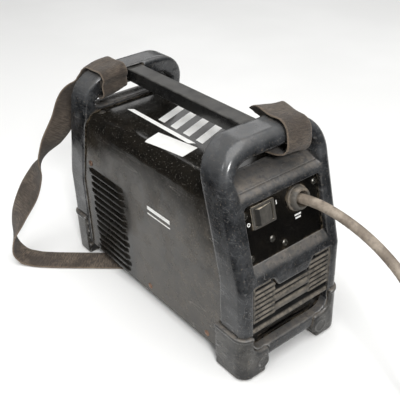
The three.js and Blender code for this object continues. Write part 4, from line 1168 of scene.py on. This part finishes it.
def strap():
    """Webbing: a flat closed ribbon with soft edges, a little cupped where it hangs free."""
    per_span = 8
    centre = centripetal([s[:3] for s in STRAP_STATIONS], per_span)
    side = uniform([s[3:] for s in STRAP_STATIONS], per_span)
    along = np.gradient(centre, axis=0)
    along /= np.linalg.norm(along, axis=1)[:, None]
    side -= along * (side * along).sum(1)[:, None]
    side /= np.linalg.norm(side, axis=1)[:, None]
    up = np.cross(along, side)
    run = np.concatenate([[0], np.linalg.norm(np.diff(centre, axis=0), axis=1).cumsum()])
    half = STRAP_THICK / 2
    upper = [(-0.985, 0.75), *((i * 0.31, 1) for i in range(-3, 4)), (0.985, 0.75)]
    section = [(-1, 0), *upper, (1, 0), *((a, -b) for a, b in reversed(upper))]
    vertices, faces, across = [], [], []
    for i, (c, s, u) in enumerate(zip(centre, side, up)):
        free = np.clip((run[i] - 190) / 60, 0, 1) * np.clip((c[2] - 20) / 60, 0, 1) \
            * np.clip((560 - run[i]) / 60, 0, 1)
        slack = np.clip(min(c[2] - 236, run[i] - 15, run[-1] - 15 - run[i]) / 12, 0, 1)
        for a, b in section:
            cup = 1.3 * free * (a * a - 0.4) + 0.35 * math.sin(run[i] / 21 + 2.2 * a) * free
            wave = math.sin(run[i] / 8.5 + 2.4 * a + 1.3 * math.sin(run[i] / 31))
            cup += 0.85 * slack * (1 + wave)
            vertices.append(c + s * a * STRAP_HALF + u * (b * half + cup))
            across.append((a * STRAP_HALF / 1000, run[i] / 1000))
    n = len(section)
    for i in range(len(centre) - 1):
        for j in range(n):
            k = (j + 1) % n
            faces.append((i * n + j, i * n + k, (i + 1) * n + k, (i + 1) * n + j))
    last = (len(centre) - 1) * n
    faces.append(tuple(reversed(range(n))))
    faces.append(tuple(last + i for i in range(n)))
    made = piece("strap_webbing", vertices, faces, WEBBING, "webbing",
                 replaces=("shoulder_strap",))
    layer = made.data.uv_layers.new(name="along")
    for loop in made.data.loops:
        layer.data[loop.index].uv = across[loop.vertex_index]
    return by_angle(made, 60), run[-1] / 1000


webbing, STRAP_LENGTH = strap()

# ---- finishes of the CAD pieces
for material, names in (
        (PANEL_PAINT, ("mains_panel", "control_panel")),
        (COVER, ("base_pan",)),
        (GLAND, ("gland_nut",)),
        (SWITCH, ("socket_plus", "socket_minus")),
        (FAN, ("fan_frame", "fan_rotor", "heatsink_tray")),
        (BRASS, ("socket_contact_plus", "socket_contact_minus", "board_standoff_1",
                 "board_standoff_2", "board_standoff_3", "board_standoff_4")),
        (COPPER, ("busbar_plus", "busbar_minus")),
        (ALUMINIUM, ("heatsink_left", "heatsink_right")),
        (BOARD, ("main_board", "control_board")),
        (SLEEVE, ("bulk_capacitor_1", "bulk_capacitor_2")),
        (WINDING, ("transformer_winding", "output_choke")),
        (FERRITE, ("transformer_core",)),
        (DISPLAY, ("display_window",)),
        (ZINC, ("potentiometer",))):
    for name in names:
        for slot in nodes[name].material_slots:
            slot.material = material

# ---- floor and light
def floor():
    """Pale paper. In reflections it ends near the machine, as where a dark room begins."""
    g = Graph("studio_floor")
    g.set(Base_Color=g.mix(g.band(g.noise(2.2, 3), 0.38, 0.62), (0.85, 0.85, 0.84),
                           (0.89, 0.89, 0.88)), Roughness=0.9)
    place = g.node("ShaderNodeSeparateXYZ", Vector=g.position)
    x, y = place.outputs["X"], place.outputs["Y"]
    bow = g.math("POWER", g.math("ABSOLUTE", g.math("ADD", y, 0.28)), 2.0)
    edge = g.math("MAXIMUM", g.math("SUBTRACT", 0.242, g.times(bow, 1.035)), 0.178)
    beyond = g.band(g.math("SUBTRACT", x, edge), -0.012, 0.03)
    beyond = g.math("MAXIMUM", beyond, g.band(y, 0.16, 0.42))
    mirrored = g.node("ShaderNodeLightPath").outputs["Is Glossy Ray"]
    dark = g.node("ShaderNodeEmission", Color=(0.02, 0.02, 0.02), Strength=1.0)
    blend = g.node("ShaderNodeMixShader", Fac=g.times(beyond, mirrored))
    g.tree.links.new(g.shader.outputs[0], blend.inputs[1])
    g.tree.links.new(dark.outputs[0], blend.inputs[2])
    g.tree.links.new(blend.outputs[0], g.tree.nodes["Material Output"].inputs["Surface"])
    bm = bmesh.new()
    bmesh.ops.create_grid(bm, x_segments=8, y_segments=8, size=4.5)
    made = added("studio_floor", as_mesh("studio_floor", bm))
    made.data.materials.append(g.material)
    made.location = (0, 0, -0.0005)


def soft_box(name, where, target, size, power, color=(1, 1, 1)):
    data = bpy.data.lights.new(name, "AREA")
    data.shape, data.size, data.size_y = "RECTANGLE", size[0], size[1]
    data.energy, data.color = power, color
    made = added(name, data)
    made.location = where
    aim = Vector(target) - Vector(where)
    made.rotation_euler = aim.to_track_quat("-Z", "Y").to_euler()
    return made


floor()
soft_box("overhead", (0.1, 0.3, 2.6), (0, 0, 0), (3.2, 3.2), 98)
soft_box("front_box", (0.9, 2.0, 1.7), (0, 0, 0.12), (0.45, 0.45), 42)
soft_box("left_box", (1.7, -0.1, 1.5), (0, 0.1, 0.15), (0.5, 0.5), 3.5)
soft_box("far_box", (-1.7, -2.3, 1.75), (0, 0, 0.2), (1.5, 0.9), 6)
world = bpy.data.worlds.new("room")
world.use_nodes = True
backdrop = world.node_tree.nodes["Background"]
backdrop.inputs["Color"].default_value = (0.9, 0.9, 0.89, 1)
seen = world.node_tree.nodes.new("ShaderNodeLightPath").outputs["Is Camera Ray"]
level = world.node_tree.nodes.new("ShaderNodeMapRange")
level.inputs["To Min"].default_value, level.inputs["To Max"].default_value = 0.02, 1.0
world.node_tree.links.new(seen, level.inputs["Value"])
world.node_tree.links.new(level.outputs[0], backdrop.inputs["Strength"])
bpy.context.scene.world = world
bpy.context.scene.view_settings.view_transform = "Standard"
